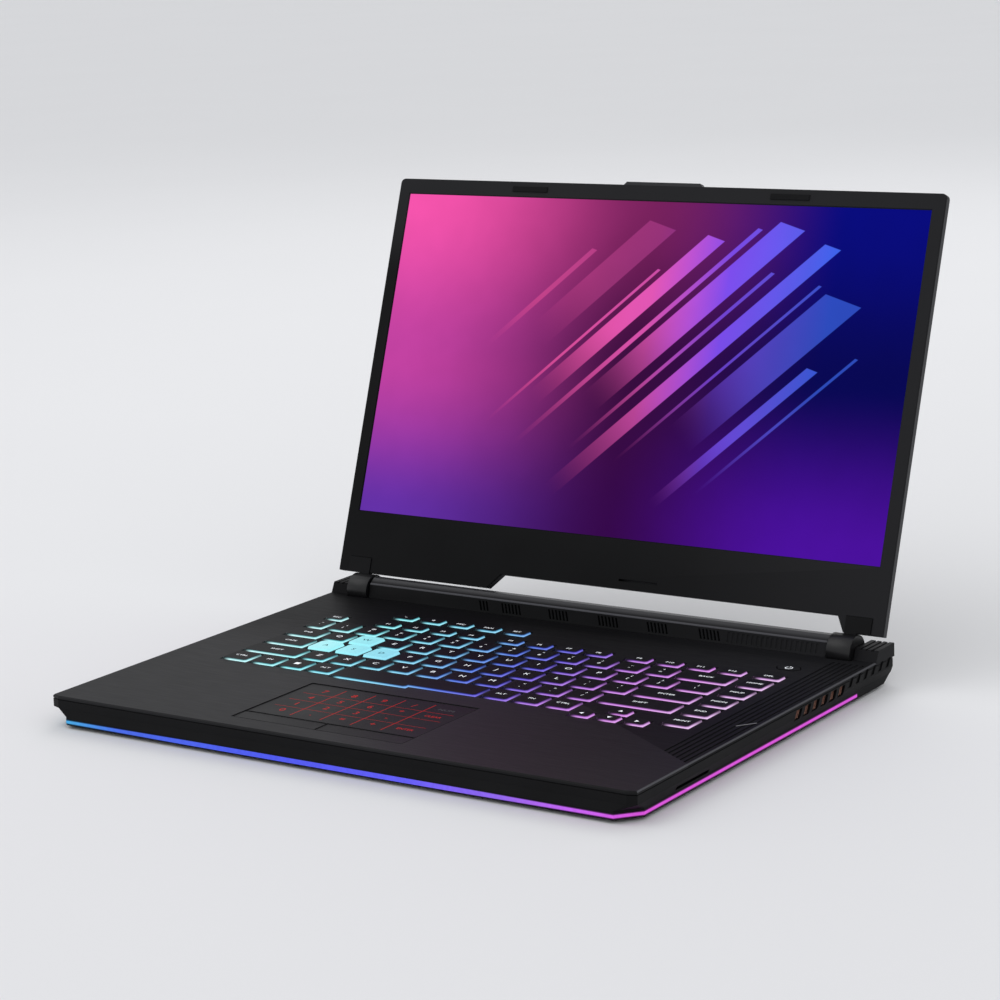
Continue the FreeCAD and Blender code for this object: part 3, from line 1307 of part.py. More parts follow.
def rear_socket(x, width, height, wall, tongue):
    """Hollow shell on the rear edge of the board, open to the back."""
    half = width / 2.0
    back = SOCKET_FRONT + REAR_BACK
    shell = box(x - half, x + half, SOCKET_FRONT, SOCKET_MOUTH, BOARD_TOP, BOARD_TOP + height)
    room = box(x - half + wall, x + half - wall, back, SOCKET_MOUTH + PAST, BOARD_TOP + wall,
               BOARD_TOP + height - wall)
    shell = shell.cut(room)
    if not tongue:
        return shell
    low = BOARD_TOP + (height - REAR_TONGUE_THICK) / 2.0
    blade = box(x - half + REAR_TONGUE_SIDE, x + half - REAR_TONGUE_SIDE, SOCKET_FRONT,
                SOCKET_MOUTH - REAR_TONGUE_SETBACK, low, low + REAR_TONGUE_THICK)
    return fuse([shell, blade])


def power_inlet():
    half = POWER_IN_SIZE / 2.0
    middle = BOARD_TOP + half
    back = SOCKET_FRONT + POWER_IN_BACK
    tip = SOCKET_MOUTH - POWER_IN_PIN_SETBACK
    body = box(POWER_IN_X - half, POWER_IN_X + half, SOCKET_FRONT, SOCKET_MOUTH, BOARD_TOP,
               BOARD_TOP + POWER_IN_SIZE)
    bore = prism_y(ring(POWER_IN_X, middle, POWER_IN_BORE, INLET_SIDES), back, SOCKET_MOUTH + PAST)
    pin = prism_y(ring(POWER_IN_X, middle, POWER_IN_PIN, BOSS_SIDES), back - PAST, tip)
    return fuse([body.cut(bore), pin])


def socket_windows():
    sizes = [(NETWORK_X, NETWORK_WIDTH, NETWORK_HEIGHT), (HDMI_X, HDMI_WIDTH, HDMI_HEIGHT),
             (TYPE_C_X, TYPE_C_WIDTH, TYPE_C_HEIGHT), (POWER_IN_X, POWER_IN_SIZE, POWER_IN_SIZE)]
    windows = []
    for x, width, height in sizes:
        half = width / 2.0 + FIT_GAP
        windows.append(box(x - half, x + half, FRAME_FRONT - PAST, FRAME_BACK + PAST, BOARD_TOP - FIT_GAP,
                           BOARD_TOP + height + FIT_GAP))
    return windows


def frame_profile():
    """Side outline that the rear grilles and the port plate share."""
    slope_y = FRAME_BACK - FRAME_SLOPE
    step_y = DECK_DEPTH + FIT_GAP
    step_z = DECK_UNDER - FIT_GAP
    return [(FRAME_FRONT, FRAME_LOW), (slope_y, FRAME_LOW), (FRAME_BACK, FRAME_LOW + FRAME_LOW_EDGE),
            (FRAME_BACK, DECK - FRAME_SLOPE), (slope_y, DECK), (step_y, DECK), (step_y, step_z),
            (FRAME_FRONT, step_z)]


def rear_grille():
    frame = prism_x(frame_profile(), PORT_PLATE_HALF + PORT_PLATE_GAP, FRAME_HALF)
    slots = []
    for i in range(GRILLE_COUNT):
        x = GRILLE_INNER + GRILLE_PITCH * i
        slots.append(box(x, x + GRILLE_SLOT, FRAME_FRONT - PAST, FRAME_BACK + PAST,
                         FRAME_LOW + GRILLE_MARGIN, DECK_UNDER - GRILLE_MARGIN))
    return cut(frame, slots)


def rear_port_plate():
    return cut(prism_x(frame_profile(), -PORT_PLATE_HALF, PORT_PLATE_HALF), socket_windows())


# All nodes of the base and of the lid
def base_nodes():
    rotor = fan_rotor()
    nodes = {
        "top_deck": [top_deck()],
        "side_band": [side_band()] + [screw_post(x, y) for x, y in screw_spots()],
        "lower_band": [lower_band()],
        "bottom_cover": [bottom_cover()],
        "light_bar": [light_bar()],
        "rubber_feet": rubber_feet(),
        "bottom_screws": bottom_screws(),
        "hinge_bar": [hinge_bar()],
        "hinge_brackets": pair(hinge_bracket()),
        "rear_grilles": pair(rear_grille()),
        "rear_port_plate": [rear_port_plate()],
        "keyboard_plate": [keyboard_plate()],
        "touchpad": [touchpad()],
        "touchpad_left_button": [touchpad_button(PAD_LEFT, PAD_SPLIT)],
        "touchpad_right_button": [touchpad_button(PAD_SPLIT, PAD_RIGHT)],
        "power_button": [power_button()],
        "fan_housings": pair(fan_housing()),
        "right_fan_rotor": [rotor],
        "left_fan_rotor": [mirrored(rotor)],
        "fin_stacks": pair(rear_fins()) + [side_fins()],
        "heat_pipes": heat_pipes(),
        "motherboard": [motherboard()],
        "battery_pack": [battery_pack()],
        "memory_modules": memory_modules(),
        "ssd_module": [storage_module()],
        "wireless_card": [wireless_card()],
        "speakers": pair(speaker()),
        "usb_a_ports": [usb_port(y) for y in usb_places()],
        "audio_jack": [audio_jack()],
        "network_port": [rear_socket(NETWORK_X, NETWORK_WIDTH, NETWORK_HEIGHT, NETWORK_WALL, False)],
        "hdmi_port": [rear_socket(HDMI_X, HDMI_WIDTH, HDMI_HEIGHT, SOCKET_WALL, True)],
        "usb_c_port": [rear_socket(TYPE_C_X, TYPE_C_WIDTH, TYPE_C_HEIGHT, SOCKET_WALL, True)],
        "power_inlet": [power_inlet()],
    }
    nodes.update(make_keys())
    return nodes


def lid_nodes():
    closed = {
        "lid_cover": [lid_cover()],
        "screen_bezel": [screen_bezel()],
        "display_panel": [panel_slab(BEZEL_BACK, BEZEL_BACK + PANEL_THICK)],
        "backlight_unit": [panel_slab(BEZEL_BACK + PANEL_THICK, BEZEL_BACK + PANEL_THICK + BACKLIGHT_THICK)],
        "hinge_knuckles": pair(hinge_knuckle()),
        "hinge_pins": pair(hinge_pin()),
        "lid_hinge_arms": pair(lid_hinge_arm()),
        "lid_bumpers": pair(lid_bumper()),
    }
    for solids in closed.values():
        for solid in solids:
            solid.rotate(V(0, AXIS_Y, AXIS_Z), V(1, 0, 0), -OPEN_ANGLE)
    return closed


# Write one file per node, moved so that the origin is under the middle of the open machine
nodes = base_nodes()
nodes.update(lid_nodes())
spans = [solid.BoundBox for solids in nodes.values() for solid in solids]
middle_y = (min(b.YMin for b in spans) + max(b.YMax for b in spans)) / 2.0
os.makedirs("parts", exist_ok=True)
for name, solids in nodes.items():
    shape = Part.makeCompound(solids) if len(solids) > 1 else solids[0]
    shape.translate(V(0, -middle_y, 0))
    shape.exportStep("parts/" + name + ".step")

print("nodes", len(nodes), "keys", sum(len(places) for places in LAYOUT.values()))
print("hinge axis y, z", round(AXIS_Y - middle_y, 4), round(AXIS_Z, 4))
print("fan axis x, y", FAN_X, round(FAN_Y - middle_y, 4))
print("audio jack mouth", -HALF + SOCKET_SETBACK, round(JACK_Y - middle_y, 4), BOARD_TOP + JACK_BODY / 2.0)
print("front edge of deck y", round(-middle_y, 4), "deck z", DECK)
print("socket mouth y", round(SOCKET_MOUTH - middle_y, 4), "board top z", BOARD_TOP)
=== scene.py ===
import json
import math

import bmesh
import bpy
from mathutils import Matrix, Vector


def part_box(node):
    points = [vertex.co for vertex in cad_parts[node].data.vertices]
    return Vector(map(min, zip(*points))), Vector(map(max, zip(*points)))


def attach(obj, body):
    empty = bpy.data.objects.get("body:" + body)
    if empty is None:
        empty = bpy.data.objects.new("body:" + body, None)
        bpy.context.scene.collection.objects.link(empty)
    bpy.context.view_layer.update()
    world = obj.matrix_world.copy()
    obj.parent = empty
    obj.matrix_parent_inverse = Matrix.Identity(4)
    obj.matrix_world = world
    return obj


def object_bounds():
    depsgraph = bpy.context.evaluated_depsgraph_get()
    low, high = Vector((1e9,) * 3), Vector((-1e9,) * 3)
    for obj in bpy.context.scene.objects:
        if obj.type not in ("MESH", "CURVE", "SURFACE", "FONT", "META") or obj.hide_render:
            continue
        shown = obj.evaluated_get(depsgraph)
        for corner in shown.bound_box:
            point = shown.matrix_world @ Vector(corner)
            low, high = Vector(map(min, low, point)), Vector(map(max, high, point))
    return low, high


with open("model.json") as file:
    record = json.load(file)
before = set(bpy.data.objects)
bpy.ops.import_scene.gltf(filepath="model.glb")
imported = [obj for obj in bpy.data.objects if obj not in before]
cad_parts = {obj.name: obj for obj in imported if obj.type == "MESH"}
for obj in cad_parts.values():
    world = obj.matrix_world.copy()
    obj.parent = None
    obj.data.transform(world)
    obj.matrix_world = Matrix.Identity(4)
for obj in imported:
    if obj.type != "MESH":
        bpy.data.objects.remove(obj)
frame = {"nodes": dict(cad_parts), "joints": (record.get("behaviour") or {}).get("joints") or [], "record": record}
CAD_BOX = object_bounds()

MM = 0.001
WELD = 0.001 * MM

# Camera of the photograph: place and clip in metres, angles in degrees, lens and sensor in millimetres
CAMERA_PLACE = Vector((0.82654, -1.21334, 0.41942))
CAMERA_AZIMUTH = 34.4
CAMERA_ELEVATION = 12.14
CAMERA_ROLL = -2.28
CAMERA_LENS = 101.29
CAMERA_SENSOR = 36.0
CAMERA_CLIP = (0.05, 200.0)

# Lid and screen, with the lean in degrees
LID_LEAN = 20.0
PANEL_BORDER = 3.0 * MM
PANEL_CHIN = 5.4 * MM

# Touchpad and edge mark on the deck, with y counted from the deck's front edge
PAD_RECESS = 0.3 * MM
PAD_BACK_Y = 80.55 * MM
SEAL_WIDTH = 0.45 * MM
EDGE_MARK = ((169.9 * MM, 111.8 * MM), (176.7 * MM, 120.8 * MM))
EDGE_MARK_WIDTH = 0.7 * MM

# Number pad lit through the touchpad
PAD_ROWS = 4
PAD_PITCH_X = 19.1 * MM
PAD_PITCH_Y = 12.0 * MM
PAD_LINE_X = -42.3 * MM
PAD_TOP_Y = 76.3 * MM
PAD_LINE_WIDTH = 0.4 * MM
PAD_SIGN_SIZE = 6.0 * MM
PAD_SIGN_STRETCH = 1.1
PAD_WORD_SIZE = 3.4 * MM
PAD_WORD_SPOT = 0.45
PAD_SWITCH_STRETCH = 1.3

# Print on the keys
PRINT_THICK = 0.03 * MM
PRINT_STEPS = 3
LETTER_SIZE = 4.3 * MM
WORD_SIZE = 2.7 * MM
UPPER_SIGN_SIZE = 2.5 * MM
LOWER_SIGN_SIZE = 1.2 * UPPER_SIGN_SIZE
LETTER_STRETCH = 1.25
SIGN_APART = Vector((0.0, 2.2 * MM, 0.0))
MENU_SIZE = 1.6 * MM
ARROW_SIZE = 1.5 * MM
ARROW_CORNERS = 3

# Power symbol: a ring that is open at the back, and a bar that starts and ends at shares of its radius
POWER_RADIUS = 1.9 * MM
POWER_WIDTH = 0.5 * MM
POWER_STEPS = 20
POWER_START = 125.0
POWER_SWEEP = 290.0
POWER_BAR = (0.5, 1.4)

# Side vents, with y counted from the deck's front edge, and the fins that reach into them
VENT_COUNT = 6
VENT_FIRST_Y = 153.0 * MM
VENT_PITCH = 9.4 * MM
VENT_TOP = 2.6 * MM
VENT_HEIGHT = 5.2 * MM
VENT_LEAN = 3.0 * MM
FIN_SPOTS = (1.9 * MM, 3.8 * MM, 5.7 * MM)
FIN_THICK = 0.3 * MM
FIN_RECESS = 1.4 * MM
FIN_CLEARANCE = 0.3 * MM
FIN_STRIP = 0.4 * MM
FIN_STRIP_HEIGHT = 1.5 * MM

# Rounding of the CAD nodes: edges sharper than an angle in degrees, and the radius of each node
SHARP_EDGE = 30.0
ROUND_STEPS = 2
KEY_ROUND = 0.35 * MM
ROUNDED = {
    "hinge_bar": 0.25 * MM,
    "hinge_knuckles": 0.4 * MM,
    "lid_cover": 0.4 * MM,
    "screen_bezel": 0.2 * MM,
}

# Digits after the point to which edges in metres count as one line
COLUMN_DIGITS = 4
EDGE_DIGITS = 5

# Places read from the frame
deck_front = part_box("top_deck")[0].y
deck_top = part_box("touchpad")[1].z + PAD_RECESS
key_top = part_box("enter_key")[1].z
keys_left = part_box("shift_keys")[0].x
keys_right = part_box("side_column_keys")[1].x
part_right = CAD_BOX[1][0]
hinge = next(joint for joint in frame["joints"] if joint["name"] == "lid_hinge")
hinge_place = Vector(hinge["pos_m"])
lid_up = Vector((0.0, math.sin(math.radians(LID_LEAN)), math.cos(math.radians(LID_LEAN))))


# Mesh helpers
def link_mesh(name, mesh, material):
    """Turns a finished bmesh into an object of the scene."""
    data = bpy.data.meshes.new(name)
    mesh.to_mesh(data)
    mesh.free()
    data.materials.append(material)
    made = bpy.data.objects.new(name, data)
    bpy.context.scene.collection.objects.link(made)
    return made


def add_piece(name, body, mesh, material):
    """Makes a piece of a finished bmesh, in the part's frame, and lets it ride on a body."""
    piece = link_mesh(name, mesh, material)
    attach(piece, body)


def add_text(mesh, words, size, place, stretch=1.0):
    """Adds one line of raised print to a bmesh, lying flat about the given place."""
    curve = bpy.data.curves.new("print", "FONT")
    curve.body = words
    curve.size = size
    curve.align_x = "CENTER"
    curve.align_y = "CENTER"
    curve.extrude = PRINT_THICK
    curve.resolution_u = PRINT_STEPS
    holder = bpy.data.objects.new("print", curve)
    bpy.context.scene.collection.objects.link(holder)
    flat = bpy.data.meshes.new_from_object(holder)
    flat.transform(Matrix.Translation(place) @ Matrix.Diagonal((stretch, 1.0, 1.0, 1.0)))
    mesh.from_mesh(flat)
    bpy.data.objects.remove(holder)
    bpy.data.curves.remove(curve)
    bpy.data.meshes.remove(flat)


def add_block(mesh, bottom, top):
    """Adds a closed block between two loops of points, both counter-clockwise from above."""
    low = [mesh.verts.new(point) for point in bottom]
    high = [mesh.verts.new(point) for point in top]
    mesh.faces.new(high)
    mesh.faces.new(low[::-1])
    for i in range(len(low)):
        j = (i + 1) % len(low)
        mesh.faces.new((low[i], low[j], high[j], high[i]))


def add_plate(mesh, corners, level):
    """Adds a thin plate of print over plan points given counter-clockwise."""
    bottom = [(x, y, level - PRINT_THICK) for x, y in corners]
    top = [(x, y, level + PRINT_THICK) for x, y in corners]
    add_block(mesh, bottom, top)


def add_stroke(mesh, start, end, width, level):
    """Adds a thin bar of print between two plan points."""
    along = (Vector(end) - Vector(start)).normalized()
    side = Vector((-along.y, along.x)) * (width / 2.0)
    corners = [Vector(start) - side, Vector(end) - side, Vector(end) + side, Vector(start) + side]
    add_plate(mesh, [(corner.x, corner.y) for corner in corners], level)


def points_round(middle, radius, angles):
    """Plan points on a circle, at angles in degrees."""
    turns = [math.radians(angle) for angle in angles]
    return [(middle.x + radius * math.cos(turn), middle.y + radius * math.sin(turn)) for turn in turns]


def separate_boxes(node):
    """Boxes of the separate solids in a node, from left to right and then from front to back."""
    mesh = bmesh.new()
    mesh.from_mesh(frame["nodes"][node].data)
    bmesh.ops.remove_doubles(mesh, verts=mesh.verts, dist=WELD)
    found = []
    seen = set()
    for first in mesh.verts:
        if first in seen:
            continue
        seen.add(first)
        group = [first]
        for vert in group:
            for edge in vert.link_edges:
                other = edge.other_vert(vert)
                if other not in seen:
                    seen.add(other)
                    group.append(other)
        low = Vector([min(vert.co[i] for vert in group) for i in range(3)])
        high = Vector([max(vert.co[i] for vert in group) for i in range(3)])
        found.append((low, high))
    mesh.free()
    return sorted(found, key=lambda pair: (round(pair[0].x, COLUMN_DIGITS), pair[0].y))


def soften(node, width):
    """Rounds the edges of a CAD node with a bevel."""
    piece = frame["nodes"][node]
    weld = piece.modifiers.new("weld", "WELD")
    weld.merge_threshold = WELD
    bevel = piece.modifiers.new("round", "BEVEL")
    bevel.width = width
    bevel.segments = ROUND_STEPS
    bevel.limit_method = "ANGLE"
    bevel.angle_limit = math.radians(SHARP_EDGE)
    bevel.harden_normals = True


# Spans of a noise over which a surface changes its colour, its roughness and its light
TONE_SPAN = (0.3, 0.7)
ROUGH_SPAN = (0.25, 0.75)
GLOW_SPAN = (0.2, 0.8)

# Sockets of a Mix node that carry colours
MIX_FIRST = 6
MIX_SECOND = 7
MIX_RESULT = 2

# Blue in a cool grey, and samples for an edge that is rounded in the shading
BLUE_GAIN = 1.1
BEVEL_SAMPLES = 4


def cool_grey(level):
    """Grey with a touch of blue."""
    return level, level, BLUE_GAIN * level


def is_output(value):
    """Tells a node's output from a constant."""
    return hasattr(value, "is_output")


# Shader helpers
class Shading:
    """Node tree of one material, with short calls for the nodes that it needs."""

    def __init__(self, name):
        self.material = bpy.data.materials.new(name)
        self.material.use_nodes = True
        self.tree = self.material.node_tree
        self.shader = self.tree.nodes["Principled BSDF"]
        self.place = self.tree.nodes.new("ShaderNodeTexCoord").outputs["Object"]

    def new(self, kind, **settings):
        """Adds a node with the given settings."""
        made = self.tree.nodes.new(kind)
        for key, value in settings.items():
            setattr(made, key, value)
        return made

    def feed(self, socket, value):
        """Links an output to a socket, or sets the socket to a constant."""
        if is_output(value):
            self.tree.links.new(value, socket)
        else:
            socket.default_value = value

    def set(self, **values):
        """Feeds sockets of the main shader, whose names have _ for each space."""
        for key, value in values.items():
            self.feed(self.shader.inputs[key.replace("_", " ")], value)

    def calc(self, operation, first, second=0.0):
        """Result of one step of arithmetic."""
        made = self.new("ShaderNodeMath", operation=operation)
        self.feed(made.inputs[0], first)
        self.feed(made.inputs[1], second)
        return made.outputs[0]

    def times(self, first, *others):
        """Product of all the values."""
        for other in others:
            first = self.calc("MULTIPLY", first, other)
        return first

    def remainder(self, share):
        """What a share leaves of 1."""
        return self.calc("SUBTRACT", 1.0, share)

    def gap(self, first, second):
        """Distance between two values."""
        return self.calc("ABSOLUTE", self.calc("SUBTRACT", first, second))

    def average(self, first, second, share):
        """Weighted average of two values, with the share of the first one."""
        return self.calc("ADD", self.times(first, share), self.times(second, 1.0 - share))

    def axes(self, vector):
        """The x, y and z parts of a vector."""
        made = self.new("ShaderNodeSeparateXYZ")
        self.feed(made.inputs[0], vector)
        return made.outputs

    def normal(self):
        """Parts of the surface's normal: to the right, to the back and up."""
        return self.axes(self.new("ShaderNodeNewGeometry").outputs["Normal"])

    def along(self, direction, start):
        """Distance of the shaded point from a start point, along a direction."""
        offset = self.new("ShaderNodeVectorMath", operation="SUBTRACT")
        self.feed(offset.inputs[0], self.place)
        offset.inputs[1].default_value = start
        made = self.new("ShaderNodeVectorMath", operation="DOT_PRODUCT")
        self.feed(made.inputs[0], offset.outputs[0])
        made.inputs[1].default_value = direction
        return made.outputs["Value"]

    def ramp(self, value, stops, kind="LINEAR"):
        """Colours, or grey levels, along a value from 0 to 1."""
        made = self.new("ShaderNodeValToRGB")
        made.color_ramp.interpolation = kind
        elements = made.color_ramp.elements
        elements.remove(elements[1])
        elements[0].position = stops[0][0]
        for spot, _ in stops[1:]:
            elements.new(spot)
        for element, (_, colour) in zip(elements, stops):
            parts = colour if hasattr(colour, "__len__") else (colour, colour, colour)
            element.color = (*parts, 1.0)
        self.feed(made.inputs[0], value)
        return made.outputs[0]

    def fade(self, value, low, high, bottom=0.0, top=1.0, kind="SMOOTHSTEP"):
        """Number that runs from bottom to top while the value runs from low to high."""
        made = self.new("ShaderNodeMapRange", interpolation_type=kind)
        self.feed(made.inputs["Value"], value)
        made.inputs["From Min"].default_value = low
        made.inputs["From Max"].default_value = high
        made.inputs["To Min"].default_value = bottom
        made.inputs["To Max"].default_value = top
        return made.outputs[0]

    def between(self, share, first, second):
        """Number that runs from the first to the second with a share from 0 to 1."""
        return self.fade(share, 0.0, 1.0, first, second)

    def blend(self, share, first, second, how="MIX"):
        """Colour that runs from the first to the second with a share from 0 to 1."""
        made = self.new("ShaderNodeMix", data_type="RGBA", blend_type=how)
        self.feed(made.inputs["Factor"], share)
        self.feed(made.inputs[MIX_FIRST], first if is_output(first) else (*first, 1.0))
        self.feed(made.inputs[MIX_SECOND], second if is_output(second) else (*second, 1.0))
        return made.outputs[MIX_RESULT]

    def last_edge(self, value, edges, margin):
        """The highest of some rising edges that the value has reached, or is within a margin of."""
        if len(edges) == 1:
            return edges[0]
        low = edges[0] - margin
        high = edges[-1] + margin
        span = edges[-1] - edges[0]
        stops = [((edge - margin - low) / (high - low), (edge - edges[0]) / span) for edge in edges]
        share = self.ramp(self.fade(value, low, high, kind="LINEAR"), stops, "CONSTANT")
        return self.fade(share, 0.0, 1.0, edges[0], edges[-1], kind="LINEAR")

    def noise(self, scale, detail, turn=0.0, squeeze=1.0):
        """Noise in the part's frame, turned about Z; a squeeze under 1 draws it out along its own X."""
        mapping = self.new("ShaderNodeMapping")
        self.feed(mapping.inputs["Vector"], self.place)
        mapping.inputs["Rotation"].default_value = (0.0, 0.0, math.radians(turn))
        mapping.inputs["Scale"].default_value = (squeeze, 1.0, 1.0)
        made = self.new("ShaderNodeTexNoise")
        self.feed(made.inputs["Vector"], mapping.outputs[0])
        made.inputs["Scale"].default_value = scale
        made.inputs["Detail"].default_value = detail
        return made.outputs[0]

    def bump(self, height, depth, strength, edge=0.0):
        """Fine relief, on edges that are rounded by the given radius."""
        made = self.new("ShaderNodeBump")
        made.inputs["Strength"].default_value = strength
        made.inputs["Distance"].default_value = depth
        self.feed(made.inputs["Height"], height)
        if edge:
            rounded = self.new("ShaderNodeBevel", samples=BEVEL_SAMPLES)
            rounded.inputs["Radius"].default_value = edge
            self.feed(made.inputs["Normal"], rounded.outputs[0])
        self.feed(self.shader.inputs["Normal"], made.outputs[0])

    def tones(self, value, dark, light):
        """Colour between a dark and a light one, by a noise."""
        return self.ramp(value, [(TONE_SPAN[0], dark), (TONE_SPAN[1], light)])

    def greys(self, value, dark, light):
        """Cool grey between a dark and a light level, by a noise."""
        return self.tones(value, cool_grey(dark), cool_grey(light))

    def roughness(self, value, low, high):
        """Roughness between a low and a high one, by a noise."""
        return self.fade(value, *ROUGH_SPAN, low, high)

    def glow(self, value, low, high):
        """Strength of light between a low and a high one, by a noise."""
        return self.fade(value, *GLOW_SPAN, low, high)


# Colours of the key light, from left to right
LIGHT_STOPS = [
    (0.00, (0.62, 0.90, 0.92)),
    (0.15, (0.35, 0.87, 0.92)),
    (0.36, (0.27, 0.64, 0.86)),
    (0.48, (0.12, 0.22, 0.74)),
    (0.58, (0.18, 0.14, 0.70)),
    (0.72, (0.52, 0.23, 0.74)),
    (0.86, (0.66, 0.29, 0.76)),
    (1.00, (0.72, 0.48, 0.78)),
]


def key_light(shading):
    """Colour of the key light at the shaded place."""
    x = shading.axes(shading.place)[0]
    return shading.ramp(shading.fade(x, keys_left, keys_right, kind="LINEAR"), LIGHT_STOPS)


# Plastics: a fine grain, a slow cloud for the tones, how far the roughness varies, and pairs of greys
PLASTIC_GRAIN = 2600.0
PLASTIC_CLOUD = 24.0
PLASTIC_RELIEF = 0.02 * MM
PLASTIC_EDGE = 0.25 * MM
PLASTIC_GLOSS = 0.1
PLASTIC_SPREAD = (0.05, 0.06)
SHELL_GREY = (0.004, 0.007)
SOFT_GREY = (0.006, 0.010)
INNER_GREY = (0.012, 0.020)


def plastic(name, grain=PLASTIC_GRAIN, relief=PLASTIC_RELIEF):
    """Starts a plastic with a fine moulded texture, and gives the noise for its tones."""
    shading = Shading(name)
    shading.bump(shading.noise(scale=grain, detail=2.0), relief, strength=0.35, edge=PLASTIC_EDGE)
    return shading, shading.noise(scale=PLASTIC_CLOUD, detail=4.0)


def moulded(name, grey, roughness, **texture):
    """Plain plastic with a fine moulded texture."""
    shading, cloud = plastic(name, **texture)
    shading.set(Base_Color=shading.greys(cloud, *grey), Specular_IOR_Level=PLASTIC_GLOSS)
    less, more = PLASTIC_SPREAD
    shading.set(Roughness=shading.roughness(cloud, roughness - less, roughness + more))
    return shading.material


# Hinge bar, with heights counted from the hinge axis; pairs run from its front to its slope, and its greys paint
# light on it
BAR_SHOULDER = 5.5 * MM
BAR_CREST = 8.3 * MM
BAR_EDGE = 0.6 * MM
BAR_RIGHT_PAINTED_LIGHT_GREY = 0.016
BAR_SLOPE_PAINTED_LIGHT_GREY = 0.034
BAR_EDGE_PAINTED_HIGHLIGHT_GREY = 0.075
BAR_ROUGHNESS = (0.50, 0.34)
BAR_GLOSS = (0.08, 0.36)


def bar_finish():
    """Dark plastic bar with painted light: paler to the right and up its sloped top to the crest, with a painted
    highlight on the edge at the slope's foot.
    """
    shading, cloud = plastic("bar_finish")
    x, y, z = shading.axes(shading.place)
    rise = shading.calc("SUBTRACT", z, hinge_place.z)
    # Painted light up the slope, and a painted highlight on the edge at its foot
    slope = shading.fade(rise, BAR_SHOULDER, BAR_CREST)
    in_front = shading.calc("LESS_THAN", y, hinge_place.y)
    off_edge = shading.gap(rise, BAR_SHOULDER)
    edge = shading.times(in_front, shading.fade(off_edge, BAR_EDGE, BAR_EDGE / 2.0))
    # Painted light, paler towards the right
    painted_light_to_right = shading.fade(x, 0.0, part_right)
    front = shading.blend(painted_light_to_right, shading.greys(cloud, *SHELL_GREY), cool_grey(BAR_RIGHT_PAINTED_LIGHT_GREY))
    plain = shading.blend(slope, front, cool_grey(BAR_SLOPE_PAINTED_LIGHT_GREY))
    shading.set(Base_Color=shading.blend(edge, plain, cool_grey(BAR_EDGE_PAINTED_HIGHLIGHT_GREY)))
    shading.set(Roughness=shading.between(slope, *BAR_ROUGHNESS))
    shading.set(Specular_IOR_Level=shading.between(slope, *BAR_GLOSS))
    return shading.material


# Knuckles, with the reach counted along the lid from the hinge axis; pairs run from barrel to tongue
BARREL_REACH = (7.5 * MM, 9.5 * MM)
KNUCKLE_ROUGHNESS = (0.34, 0.50)
KNUCKLE_GLOSS = (0.40, 0.10)


def knuckle_finish():
    """Dark plastic, smooth on the barrel and dull on the tongue."""
    shading, cloud = plastic("knuckle_finish")
    tongue = shading.fade(shading.along(lid_up, hinge_place), *BARREL_REACH)
    shading.set(Base_Color=shading.greys(cloud, *SHELL_GREY))
    shading.set(Roughness=shading.between(tongue, *KNUCKLE_ROUGHNESS))
    shading.set(Specular_IOR_Level=shading.between(tongue, *KNUCKLE_GLOSS))
    return shading.material


# Bezel, with the span in which painted light makes its top paler, counted along the lid from the hinge axis
BEZEL_TOP = (190.0 * MM, 225.0 * MM)
BEZEL_GREY = (0.003, 0.006)
BEZEL_PAINTED_LIGHT_GREY = 0.016
BEZEL_ROUGHNESS = (0.50, 0.61)


def bezel_finish():
    """Dark textured plastic, made a little paler to the right and at the top by painted light."""
    shading, cloud = plastic("bezel_finish")
    # Painted light, paler to the right and at the top
    painted_light_to_right = shading.fade(shading.axes(shading.place)[0], 0.0, part_right)
    to_top = shading.fade(shading.along(lid_up, hinge_place), *BEZEL_TOP)
    pale_painted_light = shading.calc("MAXIMUM", painted_light_to_right, to_top)
    plain = shading.greys(cloud, *BEZEL_GREY)
    shading.set(Base_Color=shading.blend(pale_painted_light, plain, cool_grey(BEZEL_PAINTED_LIGHT_GREY)))
    shading.set(Roughness=shading.roughness(cloud, *BEZEL_ROUGHNESS))
    shading.set(Specular_IOR_Level=PLASTIC_GLOSS)
    return shading.material


# Back of the lid, with hairlines at an angle in degrees
LID_GREY = (0.022, 0.036)
LID_HAIR_TURN = 38.0
LID_HAIR_SHARE = 0.75
LID_ROUGHNESS = (0.39, 0.49)


def lid_finish():
    """Dark metal with fine hairlines in one direction."""
    shading = Shading("lid_finish")
    hair = shading.noise(scale=900.0, detail=3.0, turn=LID_HAIR_TURN, squeeze=0.02)
    tone = shading.average(hair, shading.noise(scale=9.0, detail=3.0), LID_HAIR_SHARE)
    shading.set(Base_Color=shading.greys(tone, *LID_GREY), Metallic=0.4, Specular_IOR_Level=0.3)
    shading.set(Roughness=shading.roughness(hair, *LID_ROUGHNESS))
    shading.bump(hair, depth=0.008 * MM, strength=0.25, edge=0.3 * MM)
    return shading.material


# Deck, with y counted from its front edge: the slanted line that ends the palm rest, and darker fields that are
# painted shade, partly over a second finish beyond that line
FINISH_LINE_X = 137.0 * MM
FINISH_LINE_Y = 75.0 * MM
FINISH_LINE_SLOPE = -0.634
FINISH_LINE_SOFT = 0.2 * MM
RIGHT_FIELD_SHADE_X = (20.0 * MM, 120.0 * MM)
REAR_PAINTED_SHADE_Y = (90.0 * MM, 210.0 * MM)
# Palm greys fade to a darker right end as painted light falls off; the far right corner is paler with painted
# light
PALM_GREY = (0.009, 0.017)
PALM_RIGHT_PAINTED_SHADE_GREY = 0.007
FIELD_PAINTED_SHADE_GREY = 0.006
FAR_CORNER_PAINTED_LIGHT_GREY = 0.012
DECK_HAIR_TURN = 52.0
DECK_HAIR_SHARE = 0.35
DECK_ROUGHNESS = (0.46, 0.54)
DECK_GLOSS = (0.12, 0.06)

# Painted highlight on the deck's side edges, found by how far its normal points sideways and up
PAINTED_EDGE_HIGHLIGHT_GREY = 0.07
PAINTED_EDGE_HIGHLIGHT_SIDE = (0.5, 0.65)
PAINTED_EDGE_HIGHLIGHT_UP = (0.4, 0.6)


